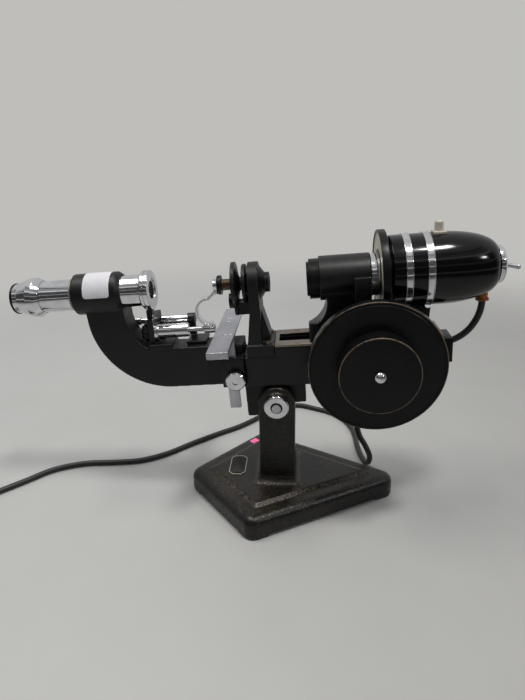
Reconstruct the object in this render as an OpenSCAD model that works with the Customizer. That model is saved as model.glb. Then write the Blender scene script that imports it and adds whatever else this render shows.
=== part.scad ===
// Lensometer: an inclined optical bench on a kite-shaped stand.
// The stand is drawn from the table up. Everything that tilts is drawn from the
// tilt pivot, with x along the optical axis towards the lamp and z up.

/* [Stand] */
// Height of the tilt pivot above the table
pivot_height = 118; // [105:1:140]
// Post centre to the tip of the left foot
base_left = 95; // [85:1:115]
// Post centre to the tip of the right foot
base_right = 122.5; // [105:0.5:140]
// Half the distance between the front and back feet
base_half_depth = 84.5; // [78:0.5:95]
// How far the front and back feet stand left of the post
apex_shift = 21.5; // [10:0.5:30]
// Radius of the feet seen from above
corner_radius = 12.5; // [10:0.5:14]
// Height of the base's rounded rim
rim_height = 24; // [22:0.5:25]
// Radius of the rim's rounded edge
rim_round = 9; // [7:0.5:9.5]
// Distance of the step's foot from the outer edge
shoulder_inset = 17; // [14:0.5:18]
// Height of the raised centre
centre_height = 27.2; // [26.2:0.2:30]
// Distance of the raised centre from the outer edge
centre_inset = 21.5; // [20:0.5:24]
// How far the edge between the feet is lifted off the table
arch_rise = 2.5; // [1.5:0.5:4]
// Radius of each foot's block
foot_reach = 16; // [12:1:20]
// Wall of the hollow underside
base_wall = 6; // [5:0.5:8]
// Width of the post
post_width = 36; // [32:1:40]
// Depth of the post from front to back
post_depth = 52; // [48:1:58]
// Radius of the sweep where the post meets the base
post_flare = 9; // [6:0.5:12]
// Radius of the round boss at the pivot
boss_radius = 13; // [12:0.5:15]
// Height of the pivot boss
boss_height = 2.5; // [2:0.5:4]

/* [Tilt joint] */
// Angle of the bench as it stands, lamp end up
rest_tilt = 4; // [0:0.5:5]
// Radius of the pivot bolt
bolt_radius = 6; // [5:0.5:7]
// Radius of the bright clamping knob
knob_radius = 12.2; // [10:0.1:12.8]
// Thickness of the clamping knob
knob_thickness = 5; // [4:0.5:7]
// Radius of the bolt end that shows in the knob
bolt_end_radius = 4.4; // [3.5:0.1:5]
// Thickness of the lug between the post's cheeks
lug_thickness = 27.4; // [24:0.2:29]
// Reach of the lug to the left of the pivot
lug_left = 31; // [28:0.5:33]
// Reach of the lug to the right of the pivot
lug_right = 29; // [26:0.5:31]
// Depth of the lug's left foot below the pivot
lug_drop = 17.4; // [15:0.2:19]
// Depth of the lug's right foot below the pivot
lug_drop_right = 4.4; // [2:0.2:8]

/* [Bench casting] */
// Optical axis above the pivot
axis_z = 118; // [114:1:124]
// Underside of the bench above the pivot
block_bottom = 18.6; // [18.6:0.2:20]
// Top of the bench above the pivot
block_top = 59; // [57:0.5:60]
// Left end of the bench
block_left = 28; // [26:0.5:30]
// Right end of the bench
block_right = 160; // [156:1:170]
// Half the depth of the bench
block_half = 22; // [21:0.5:25]
// Half the depth of the curved arm
arm_half = 14; // [12:0.5:15]
// Centre of the curved arm, left of the pivot
bend_x = 103; // [100:0.5:106]
// Centre of the curved arm above the pivot
bend_z = 95; // [93:0.5:97]
// Outer radius of the curved arm
bend_outer = 75.5; // [74:0.5:76]
// Inner radius of the curved arm
bend_inner = 38.5; // [37:0.5:41]
// Top of the straight part of the arm
arm_top = 61; // [59:0.5:62]
// Radius of the socket that holds the telescope
socket_radius = 20; // [19:0.2:21.5]
// Length of the socket
socket_length = 47.5; // [44:0.5:50]
// Length of the socket's sloping right end
socket_taper = 4; // [3:0.5:7]
// Right end of the socket, left of the pivot
socket_x = 140.8; // [138:0.2:142]
// Thickness of the steel slide plate on the bench
rail_thickness = 2.5; // [2:0.25:3.5]
// Width of the slot in the slide plate
slot_width = 20; // [18:0.5:22]
// Radius of a fixing screw's shank
screw_radius = 2; // [1.5:0.1:2.2]
// Radius of a fixing screw's head
screw_head = 3.4; // [3:0.1:3.8]

/* [Standard and lens stop] */
// Depth that the standard's foot is let into the bench
standard_sink = 9; // [7:0.5:12]
// Right end of the standard's foot
standard_foot_right = 2; // [1:0.25:3]
// Right face of the upright, left of the pivot
standard_x = 8.6; // [8:0.1:9.5]
// Thickness of the upright at the optical axis
standard_thickness = 9.9; // [9:0.1:11]
// Half the width of the upright
standard_half = 20; // [18.5:0.5:21]
// Radius of the lens cell where it meets the upright
cell_flange = 17; // [15:0.5:18]
// Radius of the lens cell's cap
cell_cap = 9.5; // [8.5:0.25:10.5]
// Length of the lens cell's cone
cell_cone_length = 5.1; // [4:0.1:6]
// Length of the lens cell's cap
cell_cap_length = 4.6; // [4:0.2:6]
// Clear radius of the standard lens
cell_bore = 7; // [6:0.25:7.5]
// Radius of the flange behind the lens stop
flange_radius = 18.5; // [17:0.5:19.5]
// Radius of the large disc of the lens stop
disc_radius = 21; // [20:0.5:22]
// Thickness of the large disc
disc_thickness = 3.6; // [3:0.2:4.4]
// Distance between the large disc and the flange behind it
disc_gap = 6.4; // [5.6:0.2:7]
// Depth of the disc's lower lobe below the optical axis
lobe_drop = 31; // [29:0.5:33]
// Half the width of the lower lobe
lobe_half = 8; // [7:0.5:9]
// Radius of the bronze lens rest
nose_radius = 5.35; // [4.6:0.05:6]
// Length of bronze that shows
nose_length = 8.9; // [7:0.1:10]
// Bore of the bronze lens rest
nose_bore = 4; // [3:0.1:4.2]
// Radius of the small knob below the lens stop
stop_knob_radius = 7.2; // [6:0.2:8]

/* [Lens clamp and marker] */
// Gap between the closed clamp ring and the lens rest
clamp_gap = 0.3; // [0.3:0.05:0.5]
// Radius of the clamp ring
ring_radius = 9.3; // [8.5:0.1:10]
// Height of the clamp rod's centre above the pivot
clamp_z = 75; // [74:0.25:76]
// Radius of the spring barrel
barrel_radius = 6.9; // [6.5:0.1:7.2]
// Length of the spring barrel
barrel_length = 33; // [30:0.5:34]
// Radius of the clamp rod
rod_radius = 2.4; // [2:0.1:2.6]
// Distance that the clamp opens for a lens
clamp_travel = 13; // [10:0.5:13.5]
// Width of the clamp's curved strap
strap_width = 9; // [7:0.5:10]
// Thickness of the curved strap
strap_thickness = 2.2; // [1.8:0.1:2.6]
// Right face of the bracket that carries the barrels, left of the pivot
bracket_x = 116; // [115.5:0.25:117]
// Thickness of the bracket
bracket_thickness = 6; // [5:0.5:7]
// Distance of the marker's barrel behind the clamp rod
marker_y = 18.8; // [18.8:0.1:19.6]
// Height of the marker's barrel above the pivot
marker_z = 80.5; // [80:0.25:82]
// Radius of the marker's barrel
marker_radius = 4.9; // [4.5:0.1:5.1]
// Travel of the marker's push rod
marker_travel = 8; // [5:0.5:10]

/* [Telescope] */
// Radius of the telescope tube
tube_radius = 15.4; // [14.6:0.1:16]
// Wall of the telescope tube
tube_wall = 1.6; // [1.2:0.1:2]
// Length of tube that shows between the socket and the focusing ring
tube_left_length = 33.7; // [30:0.1:36]
// Length of tube to the right of the socket
tube_right_length = 23; // [20:0.5:24]
// Radius of the front ring
objective_radius = 19; // [18:0.2:20]
// Length of the front ring
objective_length = 8.8; // [8:0.2:10]
// Clear radius of the front ring
objective_bore = 8.7; // [7:0.1:10]
// Radius of the focusing ring
focus_radius = 19.4; // [18.4:0.2:20.4]
// Length of the focusing ring
focus_length = 22.5; // [22:0.5:26]
// Length of eyepiece that shows outside the focusing ring
eyepiece_length = 5; // [4:0.5:8]
// Radius of the eyepiece
eyepiece_radius = 14.6; // [14:0.1:15]
// Radius of the black eye guard
guard_radius = 15.2; // [15.1:0.1:16]
// Thickness of the eye guard
guard_length = 2; // [1.5:0.5:3]
// Focusing travel of the eyepiece each way
focus_travel = 3; // [2:0.25:3]

/* [Lens table] */
// Width of the lens table
table_width = 20; // [18:0.5:21]
// Depth of the lens table from front to back
table_depth = 132; // [110:1:136]
// Thickness of the lens table
table_plate = 3; // [2.5:0.25:3.5]
// Height of the turned-down front lip
table_lip = 6.5; // [5:0.5:7]
// Top of the lens table below the optical axis
table_drop = 44; // [43:0.5:45]
// Left edge of the lens table, left of the pivot
table_x = 55; // [54.5:0.1:55.4]
// Width of the table's slide bar
bar_width = 10.5; // [9:0.25:11]
// Depth that the slide bar hangs below the pivot
bar_drop = 3; // [0:1:8]
// Radius of the table's knob
table_knob_radius = 9.4; // [8:0.1:10]

/* [Carriage and target] */
// Left end of the carriage
carriage_x = 36; // [34:0.5:38]
// Length of the carriage
carriage_length = 114; // [112:1:118]
// Height of the carriage plate
carriage_height = 7.5; // [6.5:0.25:8.5]
// Radius of the target barrel
target_radius = 20.8; // [19.5:0.1:22]
// Length of the target barrel
target_length = 46.8; // [44:0.2:48]
// Radius of the ring at the barrel's front
hood_radius = 18.8; // [17.5:0.1:20]
// Length of the ring at the barrel's front
hood_length = 9.4; // [8:0.2:9.8]
// Radius of the axis wheel
wheel_radius = 40.8; // [38:0.2:41.4]
// Thickness of the axis wheel
wheel_thickness = 6.8; // [5.5:0.1:7.4]
// Radius of the bright sleeve behind the axis wheel
sleeve_radius = 20; // [18:0.2:21]
// Length of the bright sleeve
sleeve_length = 7; // [5.5:0.2:8]

/* [Power drum] */
// Drum centre to the right of the pivot
drum_x = 95; // [93:0.5:97]
// Drum centre above the pivot
drum_z = 44.8; // [44:0.1:45.2]
// Radius of the drum
drum_radius = 62; // [58:0.5:62]
// Thickness of the drum
drum_thickness = 10; // [8:0.5:12]
// Front face of the bench to the back of the drum
drum_gap = 20; // [19.5:0.5:24]
// Radius of the drum's raised hub
hub_radius = 36; // [32:0.5:40]
// Height of the drum's raised hub
hub_height = 18; // [14:0.5:22]
// Radius of the drum's domed nut
nut_radius = 5.4; // [4.8:0.1:7]
// Radius of the drum shaft
shaft_radius = 4; // [3:0.1:4.2]
// Teeth on the pinion
pinion_teeth = 12; // [12:1:12]
// Pitch radius of the pinion
pinion_radius = 5; // [4.8:0.05:5.2]

/* [Lamp house] */
// Radius of the lamp house
lamp_radius = 33; // [31.4:0.2:35]
// Wall of the lamp house
lamp_wall = 2.4; // [2:0.1:3]
// Left end of the lamp house
lamp_x = 112; // [111.5:0.25:113]
// Length of the straight part of the lamp house
lamp_straight = 46; // [42:1:50]
// Length of the rounded end of the lamp house
lamp_nose = 49.5; // [44:0.5:52]
// Height of the lamp house's own axis above the optical axis
lamp_lift = 2; // [0:0.5:3]
// Radius of the bright ring at the lamp house's end
end_ring_radius = 17.5; // [16:0.5:19]
// Length of the bright end ring
end_ring_length = 6; // [5:0.5:8]
// Width of a bright strap round the lamp house
band_width = 6.2; // [5:0.2:8]
// Left edge of the first strap
band_x = 123; // [122:0.5:125]
// Distance between the two straps
band_pitch = 18.5; // [16:0.5:19]
// Length of the switch lever
toggle_length = 15; // [12:0.5:18]
// Angle of the switch lever as it stands
toggle_angle = 13; // [8:1:13]

/* [Leads] */
// Diameter of the mains lead
lead_diameter = 6.4; // [6:0.1:7]
// Diameter of the lamp's short lead
lamp_lead = 6.4; // [5:0.1:7]
// Turns of lead in the coil
coil_turns = 5; // [5:1:5]

/* [Hidden] */

// Facets of turned faces and of hulled ones
$fn = 64;
hull_fn = 32;

// Running fit between a shaft and its hole, and the gap left between plain pieces
fit = 0.05;
gap = 0.3;
// Overlap that a cutting tool runs past a face
over = 1;

// Colours as the object shows them
black = [0.10, 0.10, 0.11];
chrome = [0.82, 0.83, 0.85];
steel = [0.50, 0.47, 0.43];
alloy = [0.72, 0.73, 0.75];
old_brass = [0.60, 0.50, 0.32];
bronze = [0.38, 0.33, 0.25];
clear_glass = [0.75, 0.85, 0.88, 0.5];
bakelite = [0.05, 0.05, 0.06];
lead_rubber = [0.07, 0.07, 0.07];
cream = [0.86, 0.80, 0.62];

// The whole part is centred over its own footprint, from eye guard to switch lever
sin_tilt = sin(rest_tilt);
cos_tilt = cos(rest_tilt);
socket_left = -socket_x - socket_length;
focus_right = socket_left - tube_left_length;
focus_left = focus_right - focus_length;
guard_right = focus_left - eyepiece_length;
guard_left = guard_right - guard_length;
lamp_shoulder = lamp_x + lamp_straight;
lamp_end = lamp_shoulder + lamp_nose;
ring_end = lamp_end + end_ring_length;
toggle_radius = 1.8;
toggle_tip = 2.4;
toggle_pivot = ring_end - 2;
toggle_tip_x = toggle_pivot + (toggle_length + 2) * cos(toggle_angle);
toggle_tip_z = axis_z + lamp_lift - (toggle_length + 2) * sin(toggle_angle);
reach_left = guard_left * cos_tilt - (axis_z + guard_radius) * sin_tilt;
reach_right = toggle_tip_x * cos_tilt - toggle_tip_z * sin_tilt + toggle_tip;
frame_x = -(reach_left + reach_right) / 2;

// Stand
cheek_gap = lug_thickness + 2 * gap;
slot_floor = sqrt(pow(max(lug_left, lug_right), 2) + pow(lug_drop, 2)) + over;
boss_front = -post_depth / 2 - boss_height;
knob_front = boss_front - knob_thickness;
cheek_radius = min(post_width / 2, block_bottom - 2 * gap);
plate_half = 9;
plate_reach = 18;
plate_x = -post_width / 2 - post_flare - plate_half - 8.4;
plate_y = 3.4;

// Bench
rail_top = block_top + rail_thickness;
rail_left = standard_foot_right + gap;
slot_left = rail_left + 4;
slot_right = block_right - 4;
arm_bottom = bend_z - bend_outer;
standard_bottom = block_top - standard_sink;
standard_left = -standard_x - standard_thickness;
screw_length = 7;

// Lens stop, from the upright towards the telescope
stop_boss = 2.2;
flange_thickness = 3.4;
flange_left = standard_left - stop_boss - flange_thickness;
disc_right = flange_left - disc_gap;
disc_left = disc_right - disc_thickness;
collar_left = disc_left - 1.8;
collar_radius = 7.8;
nose_left = collar_left - nose_length;
neck_radius = 6.4;
cell_shank = 11.5;
lobe_radius = lobe_half;
stop_knob_z = axis_z - collar_radius - stop_knob_radius - 0.6;
stop_knob_y = -3;
stop_knob_length = 4;
bracket_top = axis_z - 13.5;
bracket_bottom = axis_z - lobe_drop + 2;

// Clamp, from the lens rest towards the telescope
ring_right = nose_left - clamp_gap;
ring_length = 3.9;
ring_left = ring_right - ring_length;
cap_length = 4;
cap_radius = 6;
hub_right = -table_x - 1.2;
hub_length = 11;
hub_left = hub_right - hub_length;
clamp_hub_radius = 4.5;
barrel_left = -bracket_x;
barrel_right = barrel_left + barrel_length;
barrel_wall = 1.5;
flange_length = 3;
flange_ring = 9.3;
rod_head = 4.6;
rod_head_length = 4;
rod_head_x = barrel_left + 4 + clamp_travel;
spring_radius = 4.1;
wire_radius = 0.6;
spring_coils = 6;
strap_centre_x = -59;
strap_centre_z = clamp_z + 17.5;
strap_radius = 14.5;
adjuster_radius = 9.9;
adjuster_length = 4.5;
pad_left = -122;
pad_right = -99;
pad_top = arm_top + 4.5;
bracket_left = -bracket_x - bracket_thickness;
marker_right = -86;
support_length = 6.6;
support_radius = 5.9;
marker_rod_radius = 3;
marker_left = -150;
marker_head = 4.4;
marker_grip = 14;
marker_nut = 5;

// Telescope
tube_right = -socket_x + tube_right_length;
tube_left = focus_left + 8;
objective_right = tube_right + 4.5;
objective_left = objective_right - objective_length;
tube_bore = tube_radius - tube_wall;

// Lens table
table_top = axis_z - table_drop;
table_left = -table_x;
table_right = table_left + table_width;
bar_left = -46.5;
bar_right = bar_left + bar_width;
bar_thickness = 4;
bar_front = -arm_half - 8;
guide_left = bar_left - 4;
guide_right = -block_left - 0.8;
guide_bottom = arm_bottom + 2;
guide_top = 52;
guide_front = bar_front - 3.4;
table_knob_x = -37;
table_knob_z = 30.5;
table_knob_front = guide_front - 9;

// Carriage
carriage_bottom = rail_top + 0.1;
carriage_top = carriage_bottom + carriage_height;
carriage_right = carriage_x + carriage_length;
carriage_half = 19;
front_wall_right = carriage_x + 10;
front_wall_top = 80;
front_wall_depth = 8;
target_left = carriage_x + 12;
target_right = target_left + target_length;
target_bore = 16;
lip_left = target_left - hood_length - 2.3;
spigot_radius = 14.6;
spigot_length = 8;
pedestal_left = target_left + 6;
pedestal_right = pedestal_left + 29;
pedestal_half = 14;
pedestal_sweep = 28;
sleeve_left = target_right + gap;
wheel_left = sleeve_left + sleeve_length;
wheel_right = wheel_left + wheel_thickness;
spindle_left = target_left + spigot_length + 4;
spindle_bore = 13;

// Rack and pinion
tooth_module = 2 * pinion_radius / pinion_teeth;
tooth_pitch = PI * tooth_module;
tooth_backlash = 0.24;
pitch_line = drum_z + pinion_radius;
rack_half = 4;
rack_left = carriage_x + 22;
rack_right = carriage_x + 96;
key_half = slot_width / 2 - 0.15;
key_bottom = block_top - 2;
channel_half = key_half + 0.15;
channel_bottom = drum_z - pinion_radius - 4;

// Drum
drum_back = -block_half - drum_gap;
drum_front = drum_back - drum_thickness;
hub_front = drum_front - hub_height;
bush_radius = 7;
bush_flange = 9;
bush_length = 10;

// Lamp house
cradle_left = band_x;
cradle_right = band_x + band_pitch + band_width + 1.5;
cradle_half = 15;
band_outer = lamp_radius + 0.8;
end_bore = 7;
peg_x = 156.5;
peg_radius = 4;
peg_height = 10.5;
lamp_exit_x = lamp_shoulder + 40;
grommet_neck = 4.8;

// Terminal box and leads
box_left = block_right + 0.02;
box_right = block_right + 10;
box_half = 13;
box_bottom = 31;
box_top = 55;
gland_x = 80;
gland_y = 12;
gland_length = 26;
gland_top_radius = 7;
gland_end_radius = 5.2;

// A bench point seen from the table
function from_bench(p) = [
    frame_x + p[0] * cos_tilt - p[2] * sin_tilt,
    p[1],
    pivot_height + p[0] * sin_tilt + p[2] * cos_tilt
];

lead_radius = lead_diameter / 2;

// Coil of the lead's unseen length: it winds inwards on the table and outwards on top
coil_centre = [frame_x - 368, -32];
coil_outer = 42;
coil_layer = lead_diameter + 0.5;
coil_step = lead_diameter + 0.6;
coil_start = -33;
coil_heading = [sin(coil_start), -cos(coil_start), 0];
coil_lead_in = 7;
coil_lead_out = 20;
coil_rings = 24;
plug_sleeve = 30;
plug_grip = 26;
plug_rest = lead_radius + coil_layer - 0.1;
half_turns = coil_turns / 2;

// Route of the mains lead, from the gland down to the table and round to the coil
gland_foot = block_bottom - gland_length;
lead_drop = [
    [82.6, 16, 88], [84.6, 21, 71], [89, 27, 54], [97, 34, 37], [103.4, 41, 20], [104, 46, 8.5], [100.6, 52.5, 3.4]
];
lead_floor = [
    [96.6, 68], [94.6, 88], [94, 110], [91, 133], [82, 155], [66, 173], [46, 184], [22, 194], [-2, 190], [-20, 176],
    [-36, 154], [-58, 130], [-86, 108], [-114, 84], [-140, 60], [-168, 44], [-200, 38], [-234, 34], [-266, 20], [-290, -4]
];
lead_route = concat(
    [for (drop = [0.15, 4, 14]) from_bench([gland_x, gland_y, gland_foot - drop])],
    [for (p = lead_drop) p + [frame_x, 0, 0]],
    [for (p = lead_floor) [p[0] + frame_x, p[1], lead_radius]],
    [for (back = [26, 14, coil_lead_in]) coil_point(0) - back * coil_heading]
);
lead_steps = 2;

// Route of the lamp's short lead, in the bench's own directions
lamp_exit = [lamp_exit_x, 0, axis_z - 25.5];
lamp_lead_route = [
    from_bench(lamp_exit), from_bench(lamp_exit + [0, 0, -7]),
    from_bench([lamp_exit_x - 0.6, 0, 77]), from_bench([lamp_exit_x - 4.5, 0, 67]),
    from_bench([lamp_exit_x - 12, 0, 58]), from_bench([box_right + 8, 0, 49.2]),
    from_bench([box_right + 4, 0, 48]), from_bench([box_right + 0.42, 0, 48])
];

module on_bench() {
    translate([frame_x, 0, pivot_height]) rotate([0, -rest_tilt, 0]) children();
}
module on_lamp() {
    on_bench() translate([0, 0, lamp_lift]) children();
}
module on_stand() {
    translate([frame_x, 0, 0]) children();
}
module rod_x(x0, x1, r, y = 0, z = 0) {
    translate([x0, y, z]) rotate([0, 90, 0]) cylinder(h = x1 - x0, r = r);
}
module cone_x(x0, x1, r0, r1, y = 0, z = 0) {
    translate([x0, y, z]) rotate([0, 90, 0]) cylinder(h = x1 - x0, r1 = r0, r2 = r1);
}
module rod_y(y0, y1, r, x = 0, z = 0) {
    translate([x, y0, z]) rotate([-90, 0, 0]) cylinder(h = y1 - y0, r = r);
}
module rod_z(z0, z1, r, x = 0, y = 0) {
    translate([x, y, z0]) cylinder(h = z1 - z0, r = r);
}
module block(x0, x1, y0, y1, z0, z1) {
    translate([x0, y0, z0]) cube([x1 - x0, y1 - y0, z1 - z0]);
}
// An outline drawn in x and z, given its thickness from y0 to y1
module slab_y(y0, y1) {
    translate([0, y1, 0]) rotate([90, 0, 0]) linear_extrude(y1 - y0) children();
}
// An outline drawn in y and z, given its thickness from x0 to x1
module slab_x(x0, x1) {
    translate([x0, 0, 0]) rotate([90, 0, 90]) linear_extrude(x1 - x0) children();
}
// The same three shapes on the optical axis
module axial(x0, x1, r) {
    rod_x(x0, x1, r, 0, axis_z);
}
module axial_cone(x0, x1, r0, r1) {
    cone_x(x0, x1, r0, r1, 0, axis_z);
}
module axial_tube(x0, x1, r, bore) {
    difference() {
        axial(x0, x1, r);
        axial(x0 - over, x1 + over, bore);
    }
}

// Corners of the kite, as the centres of its rounded tips
function kite_tips() = [
    [-base_left + corner_radius, 0], [-apex_shift, -base_half_depth + corner_radius],
    [base_right - corner_radius, 0], [-apex_shift, base_half_depth - corner_radius]
];
module kite(inset = 0) {
    offset(delta = -inset) hull() for (tip = kite_tips()) translate(tip) circle(r = corner_radius, $fn = 48);
}
// Post outline with a sweep on both sides where it meets the raised centre
module swept_post(half, top) {
    difference() {
        translate([-half - post_flare, centre_height - 3]) square([2 * (half + post_flare), top - centre_height + 3]);
        for (side = [-1, 1])
            translate([side * (half + post_flare), centre_height + post_flare - 0.2]) circle(r = post_flare);
        for (side = [-1, 1])
            translate([side * (half + post_flare / 2 + over / 2), centre_height + post_flare + top / 2])
                square([post_flare + over, top], center = true);
    }
}

// Round tip of the base with its rolled upper edge
module rim_tip() {
    edge = [for (a = [0 : 18 : 90]) [corner_radius - rim_round * (1 - cos(a)), rim_height - rim_round * (1 - sin(a))]];
    rotate_extrude($fn = hull_fn) polygon(concat([[0, arch_rise], [corner_radius, arch_rise]], edge, [[0, rim_height]]));
}
module base_casting() {
    post_half = post_width / 2;
    color(black) on_stand() difference() {
        union() {
            hull() for (tip = kite_tips()) translate(tip) rim_tip();
            hull() {
                translate([0, 0, rim_height - 0.1]) linear_extrude(0.1) kite(shoulder_inset);
                translate([0, 0, centre_height - 0.1]) linear_extrude(0.1) kite(centre_inset);
            }
            for (tip = kite_tips()) intersection() {
                linear_extrude(arch_rise + 0.1) kite(0.4);
                translate(tip) cylinder(h = arch_rise + 0.1, r = foot_reach);
            }
            intersection() {
                slab_y(-post_depth, post_depth) union() {
                    swept_post(post_half, pivot_height);
                    translate([0, pivot_height]) circle(r = cheek_radius);
                }
                slab_x(-post_width * 2, post_width * 2) swept_post(post_depth / 2, pivot_height + post_half + over);
            }
            rod_y(boss_front, -boss_front, boss_radius, 0, pivot_height);
        }
        translate([0, 0, -over]) linear_extrude(rim_height - 8 + over) kite(base_wall);
        translate([0, 0, -over]) linear_extrude(centre_height - 5 + over) kite(centre_inset + 3);
        block(-post_width, post_width, -cheek_gap / 2, cheek_gap / 2, pivot_height - slot_floor, pivot_height + post_width);
        rod_y(boss_front - over, -boss_front + over, bolt_radius + fit, 0, pivot_height);
    }
}

module nameplate() {
    lower = centre_height + 0.02;
    color(chrome) on_stand() translate([plate_x, plate_y, 0]) union() {
        difference() {
            block(-plate_half, plate_half, -plate_reach, plate_reach, lower, lower + 0.8);
            for (side = [-1, 1]) for (end = [-1, 1]) translate([side * plate_half, end * plate_reach, lower - over])
                rotate([0, 0, 45]) cube([6.4, 6.4, 8], center = true);
        }
        for (end = [-1, 1]) rod_z(lower + 0.7, lower + 1.3, 1.4, 0, end * (plate_reach - 3.4));
    }
}

module pivot_bolt() {
    color(steel) on_stand() difference() {
        union() {
            rod_y(boss_front - 0.02, -boss_front, bolt_radius, 0, pivot_height);
            rod_y(knob_front - 2, boss_front, bolt_end_radius, 0, pivot_height);
            rod_y(-boss_front, -boss_front + 5, bolt_radius + 4, 0, pivot_height);
        }
        block(-bolt_radius - 5, bolt_radius + 5, -boss_front + 3.4, -boss_front + 6, pivot_height - 0.9, pivot_height + 0.9);
    }
}

module pivot_knob() {
    color(chrome) on_stand() difference() {
        union() {
            rod_y(knob_front + 1, boss_front - 0.02, knob_radius, 0, pivot_height);
            translate([0, knob_front + 1, pivot_height]) rotate([90, 0, 0]) cylinder(h = 1, r1 = knob_radius, r2 = knob_radius - 1);
        }
        rod_y(knob_front - over, boss_front + over, bolt_end_radius + fit, 0, pivot_height);
    }
}

module lug_outline() {
    translate([-lug_left, -lug_drop]) square([lug_left, lug_drop + block_bottom + over]);
    translate([0, -lug_drop_right]) square([lug_right, lug_drop_right + block_bottom + over]);
    circle(r = 13);
}
// The curved arm seen from the front: a quarter ring, its upright end and its straight run
module arm_outline() {
    reach = bend_outer + over;
    difference() {
        translate([-bend_x, bend_z]) circle(r = bend_outer, $fn = 96);
        translate([-bend_x, bend_z]) circle(r = bend_inner, $fn = 96);
        translate([-bend_x - reach, bend_z]) square([2 * reach, reach]);
        translate([-bend_x, bend_z - reach]) square([reach, 2 * reach]);
    }
    translate([-bend_x - bend_outer, bend_z]) square([bend_outer - bend_inner, axis_z - bend_z - 8]);
    translate([-bend_x, arm_bottom]) square([bend_x - block_left + over, arm_top - arm_bottom]);
}

module body_casting() {
    color(black) on_bench() difference() {
        union() {
            block(-block_left, block_right, -block_half, block_half, block_bottom, block_top);
            slab_y(-lug_thickness / 2, lug_thickness / 2) lug_outline();
            slab_y(-arm_half, arm_half) arm_outline();
            block(pad_left, pad_right, 0.02 - arm_half, arm_half - 0.02, arm_top - 14, pad_top);
            axial(socket_left, -socket_x - socket_taper, socket_radius);
            axial_cone(-socket_x - socket_taper, -socket_x, socket_radius, tube_radius + 1.4);
        }
        // Socket bore, the standard's seat, the rack's channel and the shaft and pivot holes
        axial(socket_left - over, -socket_x + over, tube_radius + fit);
        block(-block_left - over, standard_foot_right + gap, -block_half - over, block_half + over, standard_bottom, arm_top + over);
        block(slot_left, slot_right, -channel_half, channel_half, channel_bottom, block_top + over);
        rod_y(-block_half - over, block_half + over, bush_radius + fit, drum_x, drum_z);
        rod_y(-lug_thickness, lug_thickness, bolt_radius + fit, 0, 0);
        // Screw holes of the standard and of the slide plate
        for (p = foot_screws()) rod_z(standard_bottom - screw_length, standard_bottom + over, screw_radius + fit, p[0], p[1]);
        for (p = rail_screws()) rod_z(block_top - screw_length, block_top + over, screw_radius + fit, p[0], p[1]);
    }
}
function foot_screws() = [for (y = [-1, 1]) [-3.6, y * (block_half - 6)]];
function rail_screws() = [for (x = [rail_left + 22, (rail_left + block_right) / 2 + 18, block_right - 12]) for (y = [-1, 1]) [x, y * (slot_width / 2 + (block_half - slot_width / 2) / 2 + 0.6)]];

module rail_plate() {
    color(steel) on_bench() difference() {
        block(rail_left, block_right, -block_half, block_half, block_top + 0.02, rail_top);
        block(slot_left, slot_right, -slot_width / 2, slot_width / 2, block_top - over, rail_top + over);
        for (p = rail_screws()) rod_z(block_top - over, rail_top + over, screw_radius + fit, p[0], p[1]);
        for (p = rail_screws()) translate([p[0], p[1], rail_top - 1.2]) cylinder(h = 1.22, r1 = screw_radius + fit, r2 = screw_head);
    }
}

module body_screws() {
    color(steel) on_bench() {
        for (p = foot_screws()) difference() {
            union() {
                rod_z(standard_bottom - screw_length + 1, rail_top - 0.4, screw_radius, p[0], p[1]);
                rod_z(rail_top + 0.02, rail_top + 2.4, screw_head, p[0], p[1]);
                rod_z(rail_top - 0.42, rail_top + 0.04, screw_radius, p[0], p[1]);
            }
            block(p[0] - screw_head - over, p[0] + screw_head + over, p[1] - 0.4, p[1] + 0.4, rail_top + 1.4, rail_top + 4);
        }
        for (p = rail_screws()) difference() {
            union() {
                rod_z(block_top - screw_length + 1, rail_top - 1, screw_radius, p[0], p[1]);
                translate([p[0], p[1], rail_top - 1.25]) cylinder(h = 1.1, r1 = screw_radius, r2 = screw_head - 0.2);
            }
            block(p[0] - screw_head, p[0] + screw_head, p[1] - 0.4, p[1] + 0.4, rail_top - 0.8, rail_top + over);
        }
    }
}

// Upright plate seen from the front: its left face leans out towards the foot
module upright_outline() {
    polygon([
        [standard_left, axis_z + standard_half], [standard_left, axis_z - 23],
        [-block_left + 4.5, rail_top - 1], [-block_left + 4.5, standard_bottom + 2],
        [-standard_x - 1.6, standard_bottom + 2], [-standard_x, axis_z - 30],
        [-standard_x, axis_z + standard_half]
    ]);
}
module standard() {
    color(black) on_bench() difference() {
        union() {
            block(-block_left + 3.6, standard_foot_right, -block_half, block_half, standard_bottom + 0.02, rail_top);
            intersection() {
                slab_y(-standard_half, standard_half) upright_outline();
                slab_x(-block_left, 0) union() {
                    translate([0, axis_z]) circle(r = standard_half);
                    translate([-standard_half, standard_bottom + 1]) square([2 * standard_half, axis_z - standard_bottom - 1]);
                }
            }
            // Rib behind the upright
            slab_y(-11, 11) polygon([[-standard_x - 1, rail_top - 1], [-1.5, rail_top - 1], [-1.5, rail_top + 6], [-standard_x - 1, axis_z - cell_flange - 1]]);
        }
        axial(-40, 10, cell_shank + fit);
        for (p = foot_screws()) rod_z(standard_bottom - over, rail_top + over, screw_radius + fit, p[0], p[1]);
    }
}

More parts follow.
